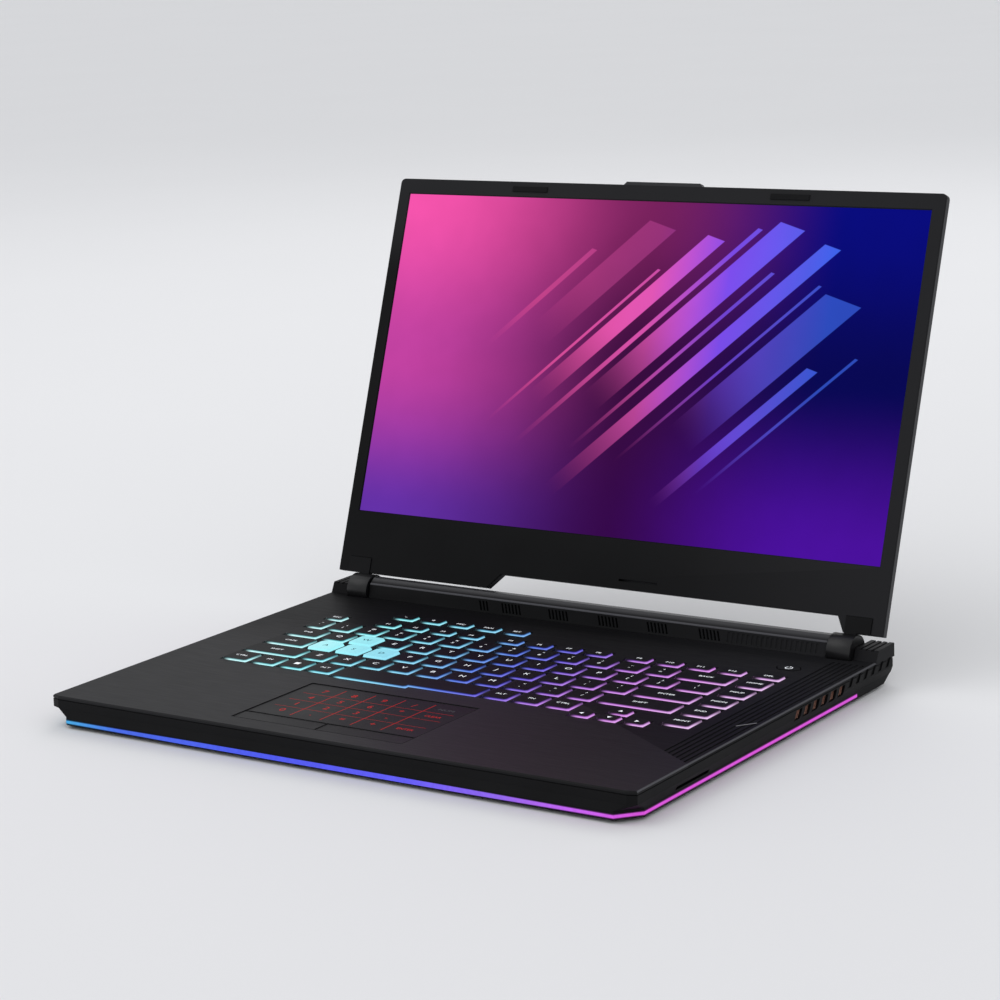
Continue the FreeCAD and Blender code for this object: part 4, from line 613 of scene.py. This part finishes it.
def deck_finish():
    """Hairline palm rest with a painted highlight on its side edges, painted light to the left and in the far
    right corner, and painted shade at the back and to the right.
    """
    shading = Shading("deck_finish")
    x, y, _ = shading.axes(shading.place)
    right, _, up = shading.normal()
    # Painted highlight on the side edges
    sideways = shading.fade(shading.calc("ABSOLUTE", right), *PAINTED_EDGE_HIGHLIGHT_SIDE)
    painted_edge_highlight = shading.times(sideways, shading.fade(up, *PAINTED_EDGE_HIGHLIGHT_UP))
    line = shading.calc("SUBTRACT", y, FINISH_LINE_Y + deck_front)
    slant = shading.times(shading.calc("SUBTRACT", x, FINISH_LINE_X), -FINISH_LINE_SLOPE)
    beyond = shading.fade(shading.calc("ADD", line, slant), -FINISH_LINE_SOFT, FINISH_LINE_SOFT)
    # Painted shade: beyond the slanted line, over a second finish and darker to the right, and towards the hinge
    right_field_and_shade = shading.times(beyond, shading.fade(x, *RIGHT_FIELD_SHADE_X))
    rear_painted_shade = shading.fade(y, deck_front + REAR_PAINTED_SHADE_Y[0], deck_front + REAR_PAINTED_SHADE_Y[1])
    field = shading.calc("MAXIMUM", right_field_and_shade, rear_painted_shade)
    # Painted light: the palm is paler to the left, and the far right corner paler than the rest of the fields
    painted_light_to_right = shading.fade(x, 0.0, FINISH_LINE_X)
    hair = shading.noise(scale=1500.0, detail=2.0, turn=DECK_HAIR_TURN, squeeze=0.04)
    tone = shading.average(hair, shading.noise(scale=7.0, detail=3.0), DECK_HAIR_SHARE)
    palm = shading.blend(painted_light_to_right, shading.greys(tone, *PALM_GREY), cool_grey(PALM_RIGHT_PAINTED_SHADE_GREY))
    far_corner_painted_light = shading.times(rear_painted_shade, painted_light_to_right)
    dark = shading.blend(far_corner_painted_light, cool_grey(FIELD_PAINTED_SHADE_GREY), cool_grey(FAR_CORNER_PAINTED_LIGHT_GREY))
    plain = shading.blend(field, palm, dark)
    shading.set(Base_Color=shading.blend(painted_edge_highlight, plain, cool_grey(PAINTED_EDGE_HIGHLIGHT_GREY)))
    shading.set(Roughness=shading.roughness(hair, *DECK_ROUGHNESS))
    shading.set(Specular_IOR_Level=shading.between(field, *DECK_GLOSS))
    shading.bump(hair, depth=0.006 * MM, strength=0.25, edge=0.3 * MM)
    return shading.material


# Key caps: how far the light fades to the left and to the back, and how much it loses on the way
KEY_GAP = 3.5 * MM
GLOW_LEFT = (7.0 * MM, 1.5 * MM)
GLOW_BACK = (3.0 * MM, 15.0 * MM)
BACK_LOSS = 0.7
RISE_LOSS = 0.8
KEY_GLOW = 1.17
KEY_TONES = ((0.004, 0.004, 0.005), (0.008, 0.008, 0.009))
CLEAR_TONES = ((0.04, 0.16, 0.18), (0.06, 0.20, 0.22))
CLEAR_GLOW = (0.74, 0.80)
CLEAR_WALL_GLOW = 0.18

# Part of the normal at which a face counts as facing one way, and upward part at which it is a wall
FACING = (0.3, 0.7)
WALL_UP = (0.92, 0.55)


def key_finish(node):
    """Dark key cap whose walls are lit from below, most of all low on the front and right walls."""
    shading = Shading("key_finish_" + node)
    x, y, z = shading.axes(shading.place)
    right, back, up = shading.normal()
    boxes = separate_boxes(node)
    lefts = sorted({round(low.x, EDGE_DIGITS) for low, _ in boxes})
    fronts = sorted({round(low.y, EDGE_DIGITS) for low, _ in boxes})
    from_left = shading.calc("SUBTRACT", x, shading.last_edge(x, lefts, KEY_GAP / 2.0))
    from_front = shading.calc("SUBTRACT", y, shading.last_edge(y, fronts, KEY_GAP / 2.0))
    front_wall = shading.fade(back, -FACING[0], -FACING[1])
    right_wall = shading.fade(right, *FACING)
    left_end = shading.times(front_wall, shading.fade(from_left, *GLOW_LEFT))
    back_end = shading.times(right_wall, shading.fade(from_front, *GLOW_BACK), BACK_LOSS)
    rise = shading.fade(z, deck_top, key_top)
    low_part = shading.remainder(shading.times(rise, RISE_LOSS))
    wall = shading.fade(up, *WALL_UP)
    glow = shading.times(wall, low_part, shading.remainder(left_end), shading.remainder(back_end))
    light = key_light(shading)
    deep = shading.blend(1.0, light, light, "MULTIPLY")
    grain = shading.noise(scale=3200.0, detail=2.0)
    shading.set(Base_Color=shading.tones(grain, *KEY_TONES), Roughness=0.5, Specular_IOR_Level=0.08)
    shading.set(Emission_Color=shading.blend(rise, light, deep))
    shading.set(Emission_Strength=shading.times(glow, KEY_GLOW))
    shading.bump(grain, depth=0.01 * MM, strength=0.25)
    return shading.material


def clear_key_finish():
    """Clear key cap, lit right through and brightest at its edges."""
    shading = Shading("clear_key_finish")
    up = shading.normal()[2]
    grain = shading.noise(scale=900.0, detail=2.0)
    wall_glow = shading.fade(up, *WALL_UP, 0.0, CLEAR_WALL_GLOW)
    glow = shading.calc("ADD", shading.glow(grain, *CLEAR_GLOW), wall_glow)
    shading.set(Base_Color=shading.tones(grain, *CLEAR_TONES), Roughness=0.36, Specular_IOR_Level=0.25)
    shading.set(Emission_Color=key_light(shading), Emission_Strength=glow)
    shading.bump(grain, depth=0.01 * MM, strength=0.2)
    return shading.material


# Tray under the keys
PLATE_TONES = ((0.02, 0.02, 0.022), (0.04, 0.04, 0.044))
PLATE_GLOW = (0.30, 0.45)


def lit_plate():
    """Tray under the keys, which glows in the gaps."""
    shading = Shading("lit_plate")
    cloud = shading.noise(scale=60.0, detail=2.0)
    shading.set(Base_Color=shading.tones(cloud, *PLATE_TONES), Roughness=0.5)
    shading.set(Emission_Color=key_light(shading), Emission_Strength=shading.glow(cloud, *PLATE_GLOW))
    return shading.material


# Shares of the light's colour in the dark and the light tone of a lit print
PRINT_TONES = (0.4, 0.5)


def lit(name, colour, strength):
    """Small lit print."""
    shading = Shading(name)
    dark, light = [[share * part for part in colour] for share in PRINT_TONES]
    cloud = shading.noise(scale=600.0, detail=2.0)
    shading.set(Base_Color=shading.tones(cloud, dark, light), Roughness=0.5, Specular_IOR_Level=0.05)
    shading.set(Emission_Color=(*colour, 1.0), Emission_Strength=strength)
    return shading.material


# Light bar: colours from left to right, and half of the lit height in the middle and at the sides
EDGE_STOPS = [
    (0.00, (0.06, 0.42, 0.68)),
    (0.13, (0.06, 0.13, 0.72)),
    (0.42, (0.07, 0.09, 0.76)),
    (0.64, (0.11, 0.10, 0.82)),
    (0.80, (0.26, 0.12, 0.76)),
    (0.94, (0.56, 0.11, 0.78)),
    (1.00, (0.62, 0.08, 0.62)),
]
LIGHT_HALF = (1.4 * MM, 0.75 * MM)
LIGHT_SOFT = 0.25 * MM
LIGHT_MIDDLE = 0.2
LIGHT_FROST = (0.92, 1.08)
LIGHT_DARK = 0.85


def edge_light():
    """Frosted bar that runs from sky blue through violet to pink."""
    shading = Shading("edge_light")
    x, _, z = shading.axes(shading.place)
    low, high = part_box("light_bar")
    colour = shading.ramp(shading.fade(x, low.x, high.x, kind="LINEAR"), EDGE_STOPS)
    frost = shading.glow(shading.noise(scale=420.0, detail=2.0), *LIGHT_FROST)
    off_middle = shading.gap(z, (low.z + high.z) / 2.0)
    half = shading.fade(shading.calc("ABSOLUTE", x), LIGHT_MIDDLE * high.x, high.x, *LIGHT_HALF)
    core = shading.fade(shading.calc("SUBTRACT", off_middle, half), LIGHT_SOFT, -LIGHT_SOFT)
    shading.set(Base_Color=shading.blend(LIGHT_DARK, colour, (0.0, 0.0, 0.0)))
    shading.set(Roughness=0.4, Specular_IOR_Level=0.1)
    shading.set(Emission_Color=colour, Emission_Strength=shading.times(frost, core))
    return shading.material


# Metals: scale of their streaks, and how far the roughness varies
METAL_STREAK = 700.0
METAL_SPREAD = (0.06, 0.08)


def metal(name, dark, light, roughness, turn=0.0, metallic=1.0):
    """Metal with fine streaks."""
    shading = Shading(name)
    streak = shading.noise(scale=METAL_STREAK, detail=3.0, turn=turn, squeeze=0.08)
    shading.set(Base_Color=shading.tones(streak, dark, light), Metallic=metallic)
    less, more = METAL_SPREAD
    shading.set(Roughness=shading.roughness(streak, roughness - less, roughness + more))
    shading.bump(streak, depth=0.01 * MM, strength=0.2)
    return shading.material


# Sockets: direction into each one, depth over which it turns dark behind its rim, both dark plastic and painted
# shade, and its tones
SOCKETS = {
    "usb_a_ports": (1.0, 0.0, 0.0),
    "network_port": (0.0, -1.0, 0.0),
    "hdmi_port": (0.0, -1.0, 0.0),
    "usb_c_port": (0.0, -1.0, 0.0),
}
SOCKET_RIM = (0.4 * MM, 1.6 * MM)
SOCKET_GREY = (0.40, 0.58)
SOCKET_INSIDE_AND_SHADE_GREY = 0.012
SOCKET_ROUGHNESS = (0.26, 0.40)


def socket_metal(node, inward):
    """Plated shell of a socket, which turns dark behind its rim: partly dark plastic inside, partly painted shade
    in the recess.
    """
    shading = Shading("socket_metal_" + node)
    low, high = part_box(node)
    depth = shading.along(inward, low if sum(inward) > 0.0 else high)
    # Dark inside: dark plastic and painted shade in the recess
    inside_plastic_and_shade = shading.fade(depth, *SOCKET_RIM)
    streak = shading.noise(scale=METAL_STREAK, detail=3.0)
    plate = shading.greys(streak, *SOCKET_GREY)
    shading.set(Base_Color=shading.blend(inside_plastic_and_shade, plate, cool_grey(SOCKET_INSIDE_AND_SHADE_GREY)))
    shading.set(Metallic=shading.remainder(inside_plastic_and_shade))
    shading.set(Roughness=shading.roughness(streak, *SOCKET_ROUGHNESS))
    return shading.material


# Circuit boards: two greens between the lines of the traces
BOARD_CELLS = {
    "Scale": 160.0,
    "Mortar Size": 0.03,
    "Color1": (0.004, 0.030, 0.018, 1.0),
    "Color2": (0.006, 0.040, 0.022, 1.0),
    "Mortar": (0.20, 0.14, 0.05, 1.0),
}


def circuit_board():
    """Green board with a net of traces."""
    shading = Shading("circuit_board")
    cells = shading.new("ShaderNodeTexBrick")
    shading.feed(cells.inputs["Vector"], shading.place)
    for socket, value in BOARD_CELLS.items():
        cells.inputs[socket].default_value = value
    shading.set(Base_Color=cells.outputs[0], Roughness=0.4)
    return shading.material


# Picture on the screen: fields of colour from bottom to top, crossed by rising stripes of light
LEFT_FIELD = [(0.0, (0.13, 0.03, 0.40)), (0.5, (0.56, 0.055, 0.37)), (1.0, (0.95, 0.09, 0.43))]
MIDDLE_FIELD = [(0.0, (0.036, 0.001, 0.070)), (0.5, (0.040, 0.002, 0.048)), (1.0, (0.19, 0.014, 0.11))]
RIGHT_FIELD = [(0.0, (0.070, 0.004, 0.35)), (0.5, (0.001, 0.001, 0.09)), (1.0, (0.001, 0.002, 0.21))]
LEFT_TO_MIDDLE = (0.02, 0.52)
MIDDLE_TO_RIGHT = (0.48, 0.86)
SCREEN_BLACK = (0.0005, 0.0005, 0.0005, 1.0)
SCREEN_GLOW = (0.94, 0.98)

# Stripes of light: colours by their place across the screen, angle in degrees, and how their ends are cut
STRIPE_COLOURS = [
    (0.30, (0.98, 0.10, 0.38)),
    (0.52, (0.82, 0.10, 0.50)),
    (0.66, (0.22, 0.08, 0.92)),
    (0.85, (0.05, 0.14, 0.92)),
]
STRIPE_TILT = 43.0
STRIPE_SIDE_SOFT = 0.25
STRIPE_TAIL = 0.55
STRIPE_TIP_SLANT = 0.6
STRIPE_TIP_SOFT = 0.3

# Each stripe: distance over the screen's middle diagonal, width, start and end in mm, and strength
STRIPES = [
    (74.0, 3.0, -70.0, 20.0, 0.35),
    (56.0, 16.0, -40.0, 62.0, 0.22),
    (36.0, 1.6, -96.0, 46.0, 0.75),
    (27.0, 10.0, -62.0, 84.0, 0.95),
    (13.0, 2.6, -88.0, 108.0, 0.85),
    (1.0, 14.0, -34.0, 124.0, 0.95),
    (-13.0, 2.0, -60.0, 100.0, 0.70),
    (-25.0, 9.0, -84.0, 136.0, 0.90),
    (-38.0, 1.6, -40.0, 118.0, 0.60),
    (-54.0, 20.0, 0.0, 124.0, 0.50),
    (-74.0, 6.0, -34.0, 88.0, 0.70),
    (-86.0, 1.6, -10.0, 112.0, 0.50),
]


def screen_picture():
    """Lit screen with a plain design of colour fields and slanted stripes."""
    shading = Shading("screen_picture")
    corners = [vert.co for vert in frame["nodes"]["display_panel"].data.vertices]
    reach = [(corner - hinge_place).dot(lid_up) for corner in corners]
    low = min(reach) + PANEL_CHIN
    high = max(reach) - PANEL_BORDER
    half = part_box("display_panel")[1].x - PANEL_BORDER
    start = hinge_place + lid_up * low - Vector((half, 0.0, 0.0))
    middle = hinge_place + lid_up * (low + high) / 2.0
    u = shading.times(shading.along((1.0, 0.0, 0.0), start), 0.5 / half)
    v = shading.times(shading.along(lid_up, start), 1.0 / (high - low))
    fields = (LEFT_FIELD, MIDDLE_FIELD, RIGHT_FIELD)
    left, centre, right = [shading.ramp(v, field, "EASE") for field in fields]
    picture = shading.blend(shading.fade(u, *LEFT_TO_MIDDLE), left, centre)
    picture = shading.blend(shading.fade(u, *MIDDLE_TO_RIGHT), picture, right)
    tilt = math.radians(STRIPE_TILT)
    across = Vector((math.cos(tilt), 0.0, 0.0)) + lid_up * math.sin(tilt)
    over = Vector((-math.sin(tilt), 0.0, 0.0)) + lid_up * math.cos(tilt)
    along_stripe = shading.times(shading.along(across, middle), 1.0 / MM)
    over_stripe = shading.times(shading.along(over, middle), 1.0 / MM)
    slanted = shading.calc("ADD", along_stripe, shading.times(over_stripe, STRIPE_TIP_SLANT))
    colour = shading.ramp(u, STRIPE_COLOURS)
    for offset, width, begin, end, strength in STRIPES:
        side = width / 2.0
        cut = end + STRIPE_TIP_SLANT * offset
        off_middle = shading.gap(over_stripe, offset)
        core = shading.fade(off_middle, side + STRIPE_SIDE_SOFT, side - STRIPE_SIDE_SOFT)
        tail = shading.fade(along_stripe, begin, begin + STRIPE_TAIL * (end - begin))
        tip = shading.fade(slanted, cut + STRIPE_TIP_SOFT, cut - STRIPE_TIP_SOFT)
        picture = shading.blend(shading.times(core, tail, tip, strength), picture, colour)
    shading.set(Base_Color=SCREEN_BLACK, Roughness=0.4, Specular_IOR_Level=0.02)
    shading.set(Emission_Color=picture)
    shading.set(Emission_Strength=shading.glow(shading.noise(scale=60.0, detail=1.0), *SCREEN_GLOW))
    return shading.material


# Material of each slot
MATERIALS = {
    "deck_shell": deck_finish(),
    "lower_shell": moulded("lower_plastic", SHELL_GREY, roughness=0.55),
    "lid_shell": lid_finish(),
    "bezel_plastic": bezel_finish(),
    "screen_glass": screen_picture(),
    "clear_key_plastic": clear_key_finish(),
    "light_guide": edge_light(),
    "touch_surface": moulded("touch_surface", SOFT_GREY, roughness=0.46, grain=4200.0),
    "rubber": moulded("rubber", SOFT_GREY, roughness=0.75, grain=1500.0, relief=0.04 * MM),
    "copper": metal("copper", (0.72, 0.30, 0.16), (0.95, 0.45, 0.27), roughness=0.34, metallic=0.2),
    "steel": metal("steel", (0.40, 0.40, 0.42), (0.62, 0.62, 0.64), roughness=0.32, turn=30.0),
    "aluminium_sheet": metal("aluminium_sheet", (0.42, 0.42, 0.44), (0.55, 0.55, 0.57), roughness=0.42),
    "circuit_board": circuit_board(),
    "battery_wrap": moulded("battery_wrap", INNER_GREY, roughness=0.35, grain=900.0),
    "inner_plastic": moulded("inner_plastic", INNER_GREY, roughness=0.5),
}


def dress_nodes():
    """Gives every CAD node its own or its slot's material, and rounds the edges that catch the light."""
    own = {
        "power_button": MATERIALS["touch_surface"],
        "keyboard_plate": lit_plate(),
        "hinge_bar": bar_finish(),
        "hinge_knuckles": knuckle_finish(),
    }
    for node, inward in SOCKETS.items():
        own[node] = socket_metal(node, inward)
    for part in frame["record"]["subparts"]:
        node = part["node"]
        slot = part["material_slot"]
        if slot == "key_plastic" and node not in own:
            own[node] = key_finish(node)
        if slot in ("key_plastic", "clear_key_plastic") and node != "power_button":
            soften(node, KEY_ROUND)
        data = frame["nodes"][node].data
        data.materials.clear()
        data.materials.append(own.get(node) or MATERIALS[slot])
    for node, width in ROUNDED.items():
        soften(node, width)


# Legends on the keys: letters, words, pairs of a lower and an upper sign, or nothing for a plain square
NUMBER_MARKS = ["~", "!", "@", "#", "$", "%", "^", "&", "*", "(", ")", "_", "+"]
NUMBER_SIGNS = ["`", "1", "2", "3", "4", "5", "6", "7", "8", "9", "0", "-", "="]
LEGENDS = {
    "hot_keys": ["-", "+", "MIC", "FAN", "SET"],
    "function_keys": ["ESC"] + ["F" + str(number) for number in range(1, 13)],
    "number_row_keys": list(zip(NUMBER_SIGNS, NUMBER_MARKS)) + ["BACK"],
    "upper_row_keys": ["TAB"] + list("QERTYUIOP") + [("[", "{"), ("]", "}"), ("\\", "|")],
    "w_key": ["W"],
    "home_row_keys": ["CAPS"] + list("FGHJKL") + [(";", ":"), ("'", '"')],
    "a_key": ["A"],
    "s_key": ["S"],
    "d_key": ["D"],
    "enter_key": ["ENTER"],
    "lower_row_keys": list("ZXCVBNM") + [(",", "<"), (".", ">"), ("/", "?")],
    "shift_keys": ["SHIFT", "SHIFT"],
    "bottom_row_keys": ["CTRL", "FN", "", "ALT", "ALT", "FN", "CTRL"],
    "side_column_keys": ["PRINT", "END", "PGDN", "PGUP", "HOME", "DEL"],
}
CLEAR_KEYS = ("w_key", "a_key", "s_key", "d_key")

# Arrow keys, with the way that each arrow points in degrees
ARROWS = {"up_arrow_key": 90.0, "down_arrow_key": -90.0, "left_arrow_key": 180.0, "right_arrow_key": 0.0}


def add_legend(mesh, legend, low, high):
    """A letter, a word, a pair of signs, or a plain square where the legend is empty."""
    middle = Vector(((low.x + high.x) / 2.0, (low.y + high.y) / 2.0, high.z))
    if isinstance(legend, tuple):
        add_text(mesh, legend[0], LOWER_SIGN_SIZE, middle - SIGN_APART, LETTER_STRETCH)
        add_text(mesh, legend[1], UPPER_SIGN_SIZE, middle + SIGN_APART, LETTER_STRETCH)
    elif len(legend) == 1:
        add_text(mesh, legend, LETTER_SIZE, middle, LETTER_STRETCH)
    elif legend:
        add_text(mesh, legend, WORD_SIZE, middle, LETTER_STRETCH)
    else:
        left, right = middle.x - MENU_SIZE, middle.x + MENU_SIZE
        front, back = middle.y - MENU_SIZE, middle.y + MENU_SIZE
        add_plate(mesh, [(left, front), (right, front), (right, back), (left, back)], high.z)


def key_legends(print_white, print_dark):
    """Legends of the lettered keys, then of the arrow keys."""
    for node, legends in LEGENDS.items():
        mesh = bmesh.new()
        for legend, (low, high) in zip(legends, separate_boxes(node)):
            add_legend(mesh, legend, low, high)
        finish = print_dark if node in CLEAR_KEYS else print_white
        add_piece("legends_" + node, node, mesh, finish)
    for node, turn in ARROWS.items():
        mesh = bmesh.new()
        low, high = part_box(node)
        angles = [turn + 360.0 * i / ARROW_CORNERS for i in range(ARROW_CORNERS)]
        add_plate(mesh, points_round((low + high) / 2.0, ARROW_SIZE, angles), high.z)
        add_piece("legends_" + node, node, mesh, print_white)


def power_symbol(print_white):
    """Broken ring with an upright bar on the power button."""
    mesh = bmesh.new()
    low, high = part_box("power_button")
    middle = (low + high) / 2.0
    angles = [POWER_START + POWER_SWEEP * i / POWER_STEPS for i in range(POWER_STEPS + 1)]
    ring = points_round(middle, POWER_RADIUS, angles)
    bar = [(middle.x, middle.y + share * POWER_RADIUS) for share in POWER_BAR]
    for start, end in [*zip(ring, ring[1:]), bar]:
        add_stroke(mesh, start, end, POWER_WIDTH, high.z)
    add_piece("power_symbol", "power_button", mesh, print_white)


# Touchpad
def touchpad_seal(seal_black):
    """Seal in the gaps round the touchpad and between its buttons."""
    mesh = bmesh.new()
    boxes = [separate_boxes(node)[0] for node in ("touchpad_left_button", "touchpad_right_button")]
    (pad_low, left_high), (right_low, pad_high) = boxes
    left = pad_low.x - SEAL_WIDTH / 2.0
    right = pad_high.x + SEAL_WIDTH / 2.0
    front = pad_low.y - SEAL_WIDTH / 2.0
    back = deck_front + PAD_BACK_Y
    split = (left_high.x + right_low.x) / 2.0
    seam = pad_high.y + SEAL_WIDTH / 2.0
    lines = [
        ((left, front), (right, front)),
        ((right, front), (right, back)),
        ((right, back), (left, back)),
        ((left, back), (left, front)),
        ((left, seam), (right, seam)),
        ((split, front), (split, seam)),
    ]
    for start, end in lines:
        add_stroke(mesh, start, end, SEAL_WIDTH, deck_top)
    add_piece("touchpad_seal", "base", mesh, seal_black)


# Signs of the number pad by rows, the words at the right end of some rows, and the switch
PAD_SIGNS = [["7", "8", "9", "/"], ["4", "5", "6", "*"], ["1", "2", "3", "-"], ["0", ".", "=", "+"]]
PAD_WORDS = {1: "CLEAR", 3: "ENTER"}
PAD_SWITCH = "NUM"


def number_pad(print_red, print_grey):
    """Number pad under the touchpad's surface, with its switch."""
    mesh = bmesh.new()
    level = deck_top - PAD_RECESS
    top = deck_front + PAD_TOP_Y
    columns = len(PAD_SIGNS[0])
    left = PAD_LINE_X - PAD_PITCH_X
    right = PAD_LINE_X + columns * PAD_PITCH_X
    for column in range(columns):
        x = PAD_LINE_X + PAD_PITCH_X * column
        add_stroke(mesh, (x, top), (x, top - PAD_PITCH_Y * PAD_ROWS), PAD_LINE_WIDTH, level)
    for row in range(1, PAD_ROWS):
        y = top - PAD_PITCH_Y * row
        add_stroke(mesh, (left, y), (right, y), PAD_LINE_WIDTH / 2.0, level)
    for row, signs in enumerate(PAD_SIGNS):
        y = top - PAD_PITCH_Y * (row + 0.5)
        for column, sign in enumerate(signs):
            x = PAD_LINE_X + PAD_PITCH_X * (column - 0.5)
            add_text(mesh, sign, PAD_SIGN_SIZE, Vector((x, y, level)), PAD_SIGN_STRETCH)
    word_x = PAD_LINE_X + PAD_PITCH_X * (columns - PAD_WORD_SPOT)
    for row, word in PAD_WORDS.items():
        add_text(mesh, word, PAD_WORD_SIZE, Vector((word_x, top - PAD_PITCH_Y * (row + 0.5), level)))
    add_piece("touchpad_number_pad", "base", mesh, print_red)
    switch = bmesh.new()
    switch_place = Vector((word_x, top - PAD_PITCH_Y * 0.5, level))
    add_text(switch, PAD_SWITCH, PAD_WORD_SIZE, switch_place, PAD_SWITCH_STRETCH)
    add_piece("touchpad_number_switch", "base", switch, print_grey)


# Right edge of the deck
def edge_mark(print_pale_painted_glow):
    """Short printed dash on the ribbed right edge, whose print has a painted glow."""
    mesh = bmesh.new()
    start, end = [(x, y + deck_front) for x, y in EDGE_MARK]
    add_stroke(mesh, start, end, EDGE_MARK_WIDTH, deck_top)
    add_piece("edge_mark", "base", mesh, print_pale_painted_glow)


def fin_ends(fin_copper_painted_shade):
    """Copper fins that reach into the side vents, joined behind the wall by a strip on the fin stack."""
    mesh = bmesh.new()
    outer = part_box("top_deck")[1].x - FIN_RECESS
    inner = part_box("fin_stacks")[1].x - FIN_STRIP
    foot = deck_top - VENT_TOP - VENT_HEIGHT
    low = foot + FIN_CLEARANCE
    high = foot + VENT_HEIGHT - FIN_CLEARANCE
    first = deck_front + VENT_FIRST_Y
    fronts = [first + VENT_PITCH * i + spot for i in range(VENT_COUNT) for spot in FIN_SPOTS]
    blocks = [(outer, front, front + FIN_THICK, high) for front in fronts]
    blocks.append((inner + FIN_STRIP, first, fronts[-1], low + FIN_STRIP_HEIGHT))
    for end, front, back, top in blocks:
        corners = [(inner, front), (end, front), (end, back), (inner, back)]
        loops = []
        for level in (low, top):
            lean = VENT_LEAN * (level - foot) / VENT_HEIGHT
            loops.append([(x, y + lean, level) for x, y in corners])
        add_block(mesh, *loops)
    add_piece("side_fin_ends", "base", mesh, fin_copper_painted_shade)


# Studio: floor in metres, light all round, and soft boxes with their place, size and power
FLOOR_SIZE = 40.0
FLOOR_CELLS = 8
FLOOR_TONES = ((0.770, 0.770, 0.780), (0.776, 0.776, 0.786))
STUDIO_TINT = (0.95, 0.96, 0.98, 1.0)
LIGHT_LEVEL = 0.92
SEEN_LEVEL = 0.72
LAMPS = {
    "key_lamp": ((-1.6, -1.0, 2.2), 2.0, 10.0),
    "rear_lamp": ((-0.6, 1.9, 1.8), 1.6, 8.0),
}
LAMP_TARGET = Vector((0.0, 0.0, 0.08))


def studio():
    """Pale floor, even light and two soft boxes."""
    mesh = bmesh.new()
    bmesh.ops.create_grid(mesh, x_segments=FLOOR_CELLS, y_segments=FLOOR_CELLS, size=FLOOR_SIZE)
    shading = Shading("floor_finish")
    tones = shading.tones(shading.noise(scale=3.0, detail=2.0), *FLOOR_TONES)
    shading.set(Base_Color=tones, Roughness=0.7, Specular_IOR_Level=0.1)
    floor = link_mesh("floor", mesh, shading.material)
    backdrop()
    for name, (place, size, power) in LAMPS.items():
        add_lamp(name, place, size, power)


def backdrop():
    """Even light all round, whose seen part has the tone of the far floor."""
    world = bpy.data.worlds.new("studio")
    world.use_nodes = True
    tree = world.node_tree
    light = tree.nodes["Background"]
    seen = tree.nodes.new("ShaderNodeBackground")
    for background, level in ((light, LIGHT_LEVEL), (seen, SEEN_LEVEL)):
        background.inputs["Color"].default_value = STUDIO_TINT
        background.inputs["Strength"].default_value = level
    rays = tree.nodes.new("ShaderNodeLightPath").outputs
    share = rays["Is Camera Ray"]
    for kind in ("Is Glossy Ray", "Is Transmission Ray"):
        either = tree.nodes.new("ShaderNodeMath")
        either.operation = "MAXIMUM"
        tree.links.new(share, either.inputs[0])
        tree.links.new(rays[kind], either.inputs[1])
        share = either.outputs[0]
    mix = tree.nodes.new("ShaderNodeMixShader")
    tree.links.new(share, mix.inputs[0])
    tree.links.new(light.outputs[0], mix.inputs[1])
    tree.links.new(seen.outputs[0], mix.inputs[2])
    tree.links.new(mix.outputs[0], tree.nodes["World Output"].inputs[0])
    bpy.context.scene.world = world


def add_lamp(name, place, size, power):
    """Square soft box that points at the middle of the machine."""
    lamp = bpy.data.lights.new(name, "AREA")
    lamp.size = size
    lamp.energy = power
    holder = bpy.data.objects.new(name, lamp)
    holder.location = place
    towards = LAMP_TARGET - Vector(place)
    holder.rotation_euler = towards.to_track_quat("-Z", "Y").to_euler()
    bpy.context.scene.collection.objects.link(holder)


def photo_camera():
    """Camera at the photograph's place, turned and rolled as it was."""
    azimuth = math.radians(CAMERA_AZIMUTH)
    elevation = math.radians(CAMERA_ELEVATION)
    roll = math.radians(CAMERA_ROLL)
    back = Vector((math.sin(azimuth) * math.cos(elevation), -math.cos(azimuth) * math.cos(elevation),
                   math.sin(elevation)))
    level = Vector((math.cos(azimuth), math.sin(azimuth), 0.0))
    upright = back.cross(level)
    right = level * math.cos(roll) + upright * math.sin(roll)
    up = upright * math.cos(roll) - level * math.sin(roll)
    data = bpy.data.cameras.new("photo_camera")
    data.sensor_width = CAMERA_SENSOR
    data.lens = CAMERA_LENS
    data.clip_start, data.clip_end = CAMERA_CLIP
    camera = bpy.data.objects.new("photo_camera", data)
    turn = Matrix((right, up, back)).transposed().to_4x4()
    camera.matrix_world = Matrix.Translation(CAMERA_PLACE) @ turn
    bpy.context.scene.collection.objects.link(camera)
    bpy.context.scene.camera = camera


photo_camera()
studio()
dress_nodes()

# Prints and the copper in the vents, a darker copy of the copper that is painted shade, then the pieces made of
# them
white = lit("print_white", (0.92, 0.96, 1.0), strength=0.72)
dark = lit("print_dark", (0.01, 0.08, 0.12), strength=0.05)
red = lit("print_red", (0.62, 0.018, 0.015), strength=0.38)
grey = lit("print_grey", (0.10, 0.10, 0.11), strength=0.3)
# Pale print with a painted glow, for the dash on the deck's edge
pale_painted_light = lit("print_pale_painted_glow", (0.22, 0.22, 0.23), strength=0.5)
# Copper darkened as painted shade, for the fin ends in the vents
copper_in_painted_shade = metal("fin_copper_painted_shade", (0.22, 0.11, 0.08), (0.44, 0.23, 0.17), roughness=0.34, metallic=0.2)
key_legends(white, dark)
power_symbol(white)
touchpad_seal(MATERIALS["rubber"])
number_pad(red, grey)
edge_mark(pale_painted_light)
fin_ends(copper_in_painted_shade)

bpy.context.scene.view_settings.view_transform = "Standard"
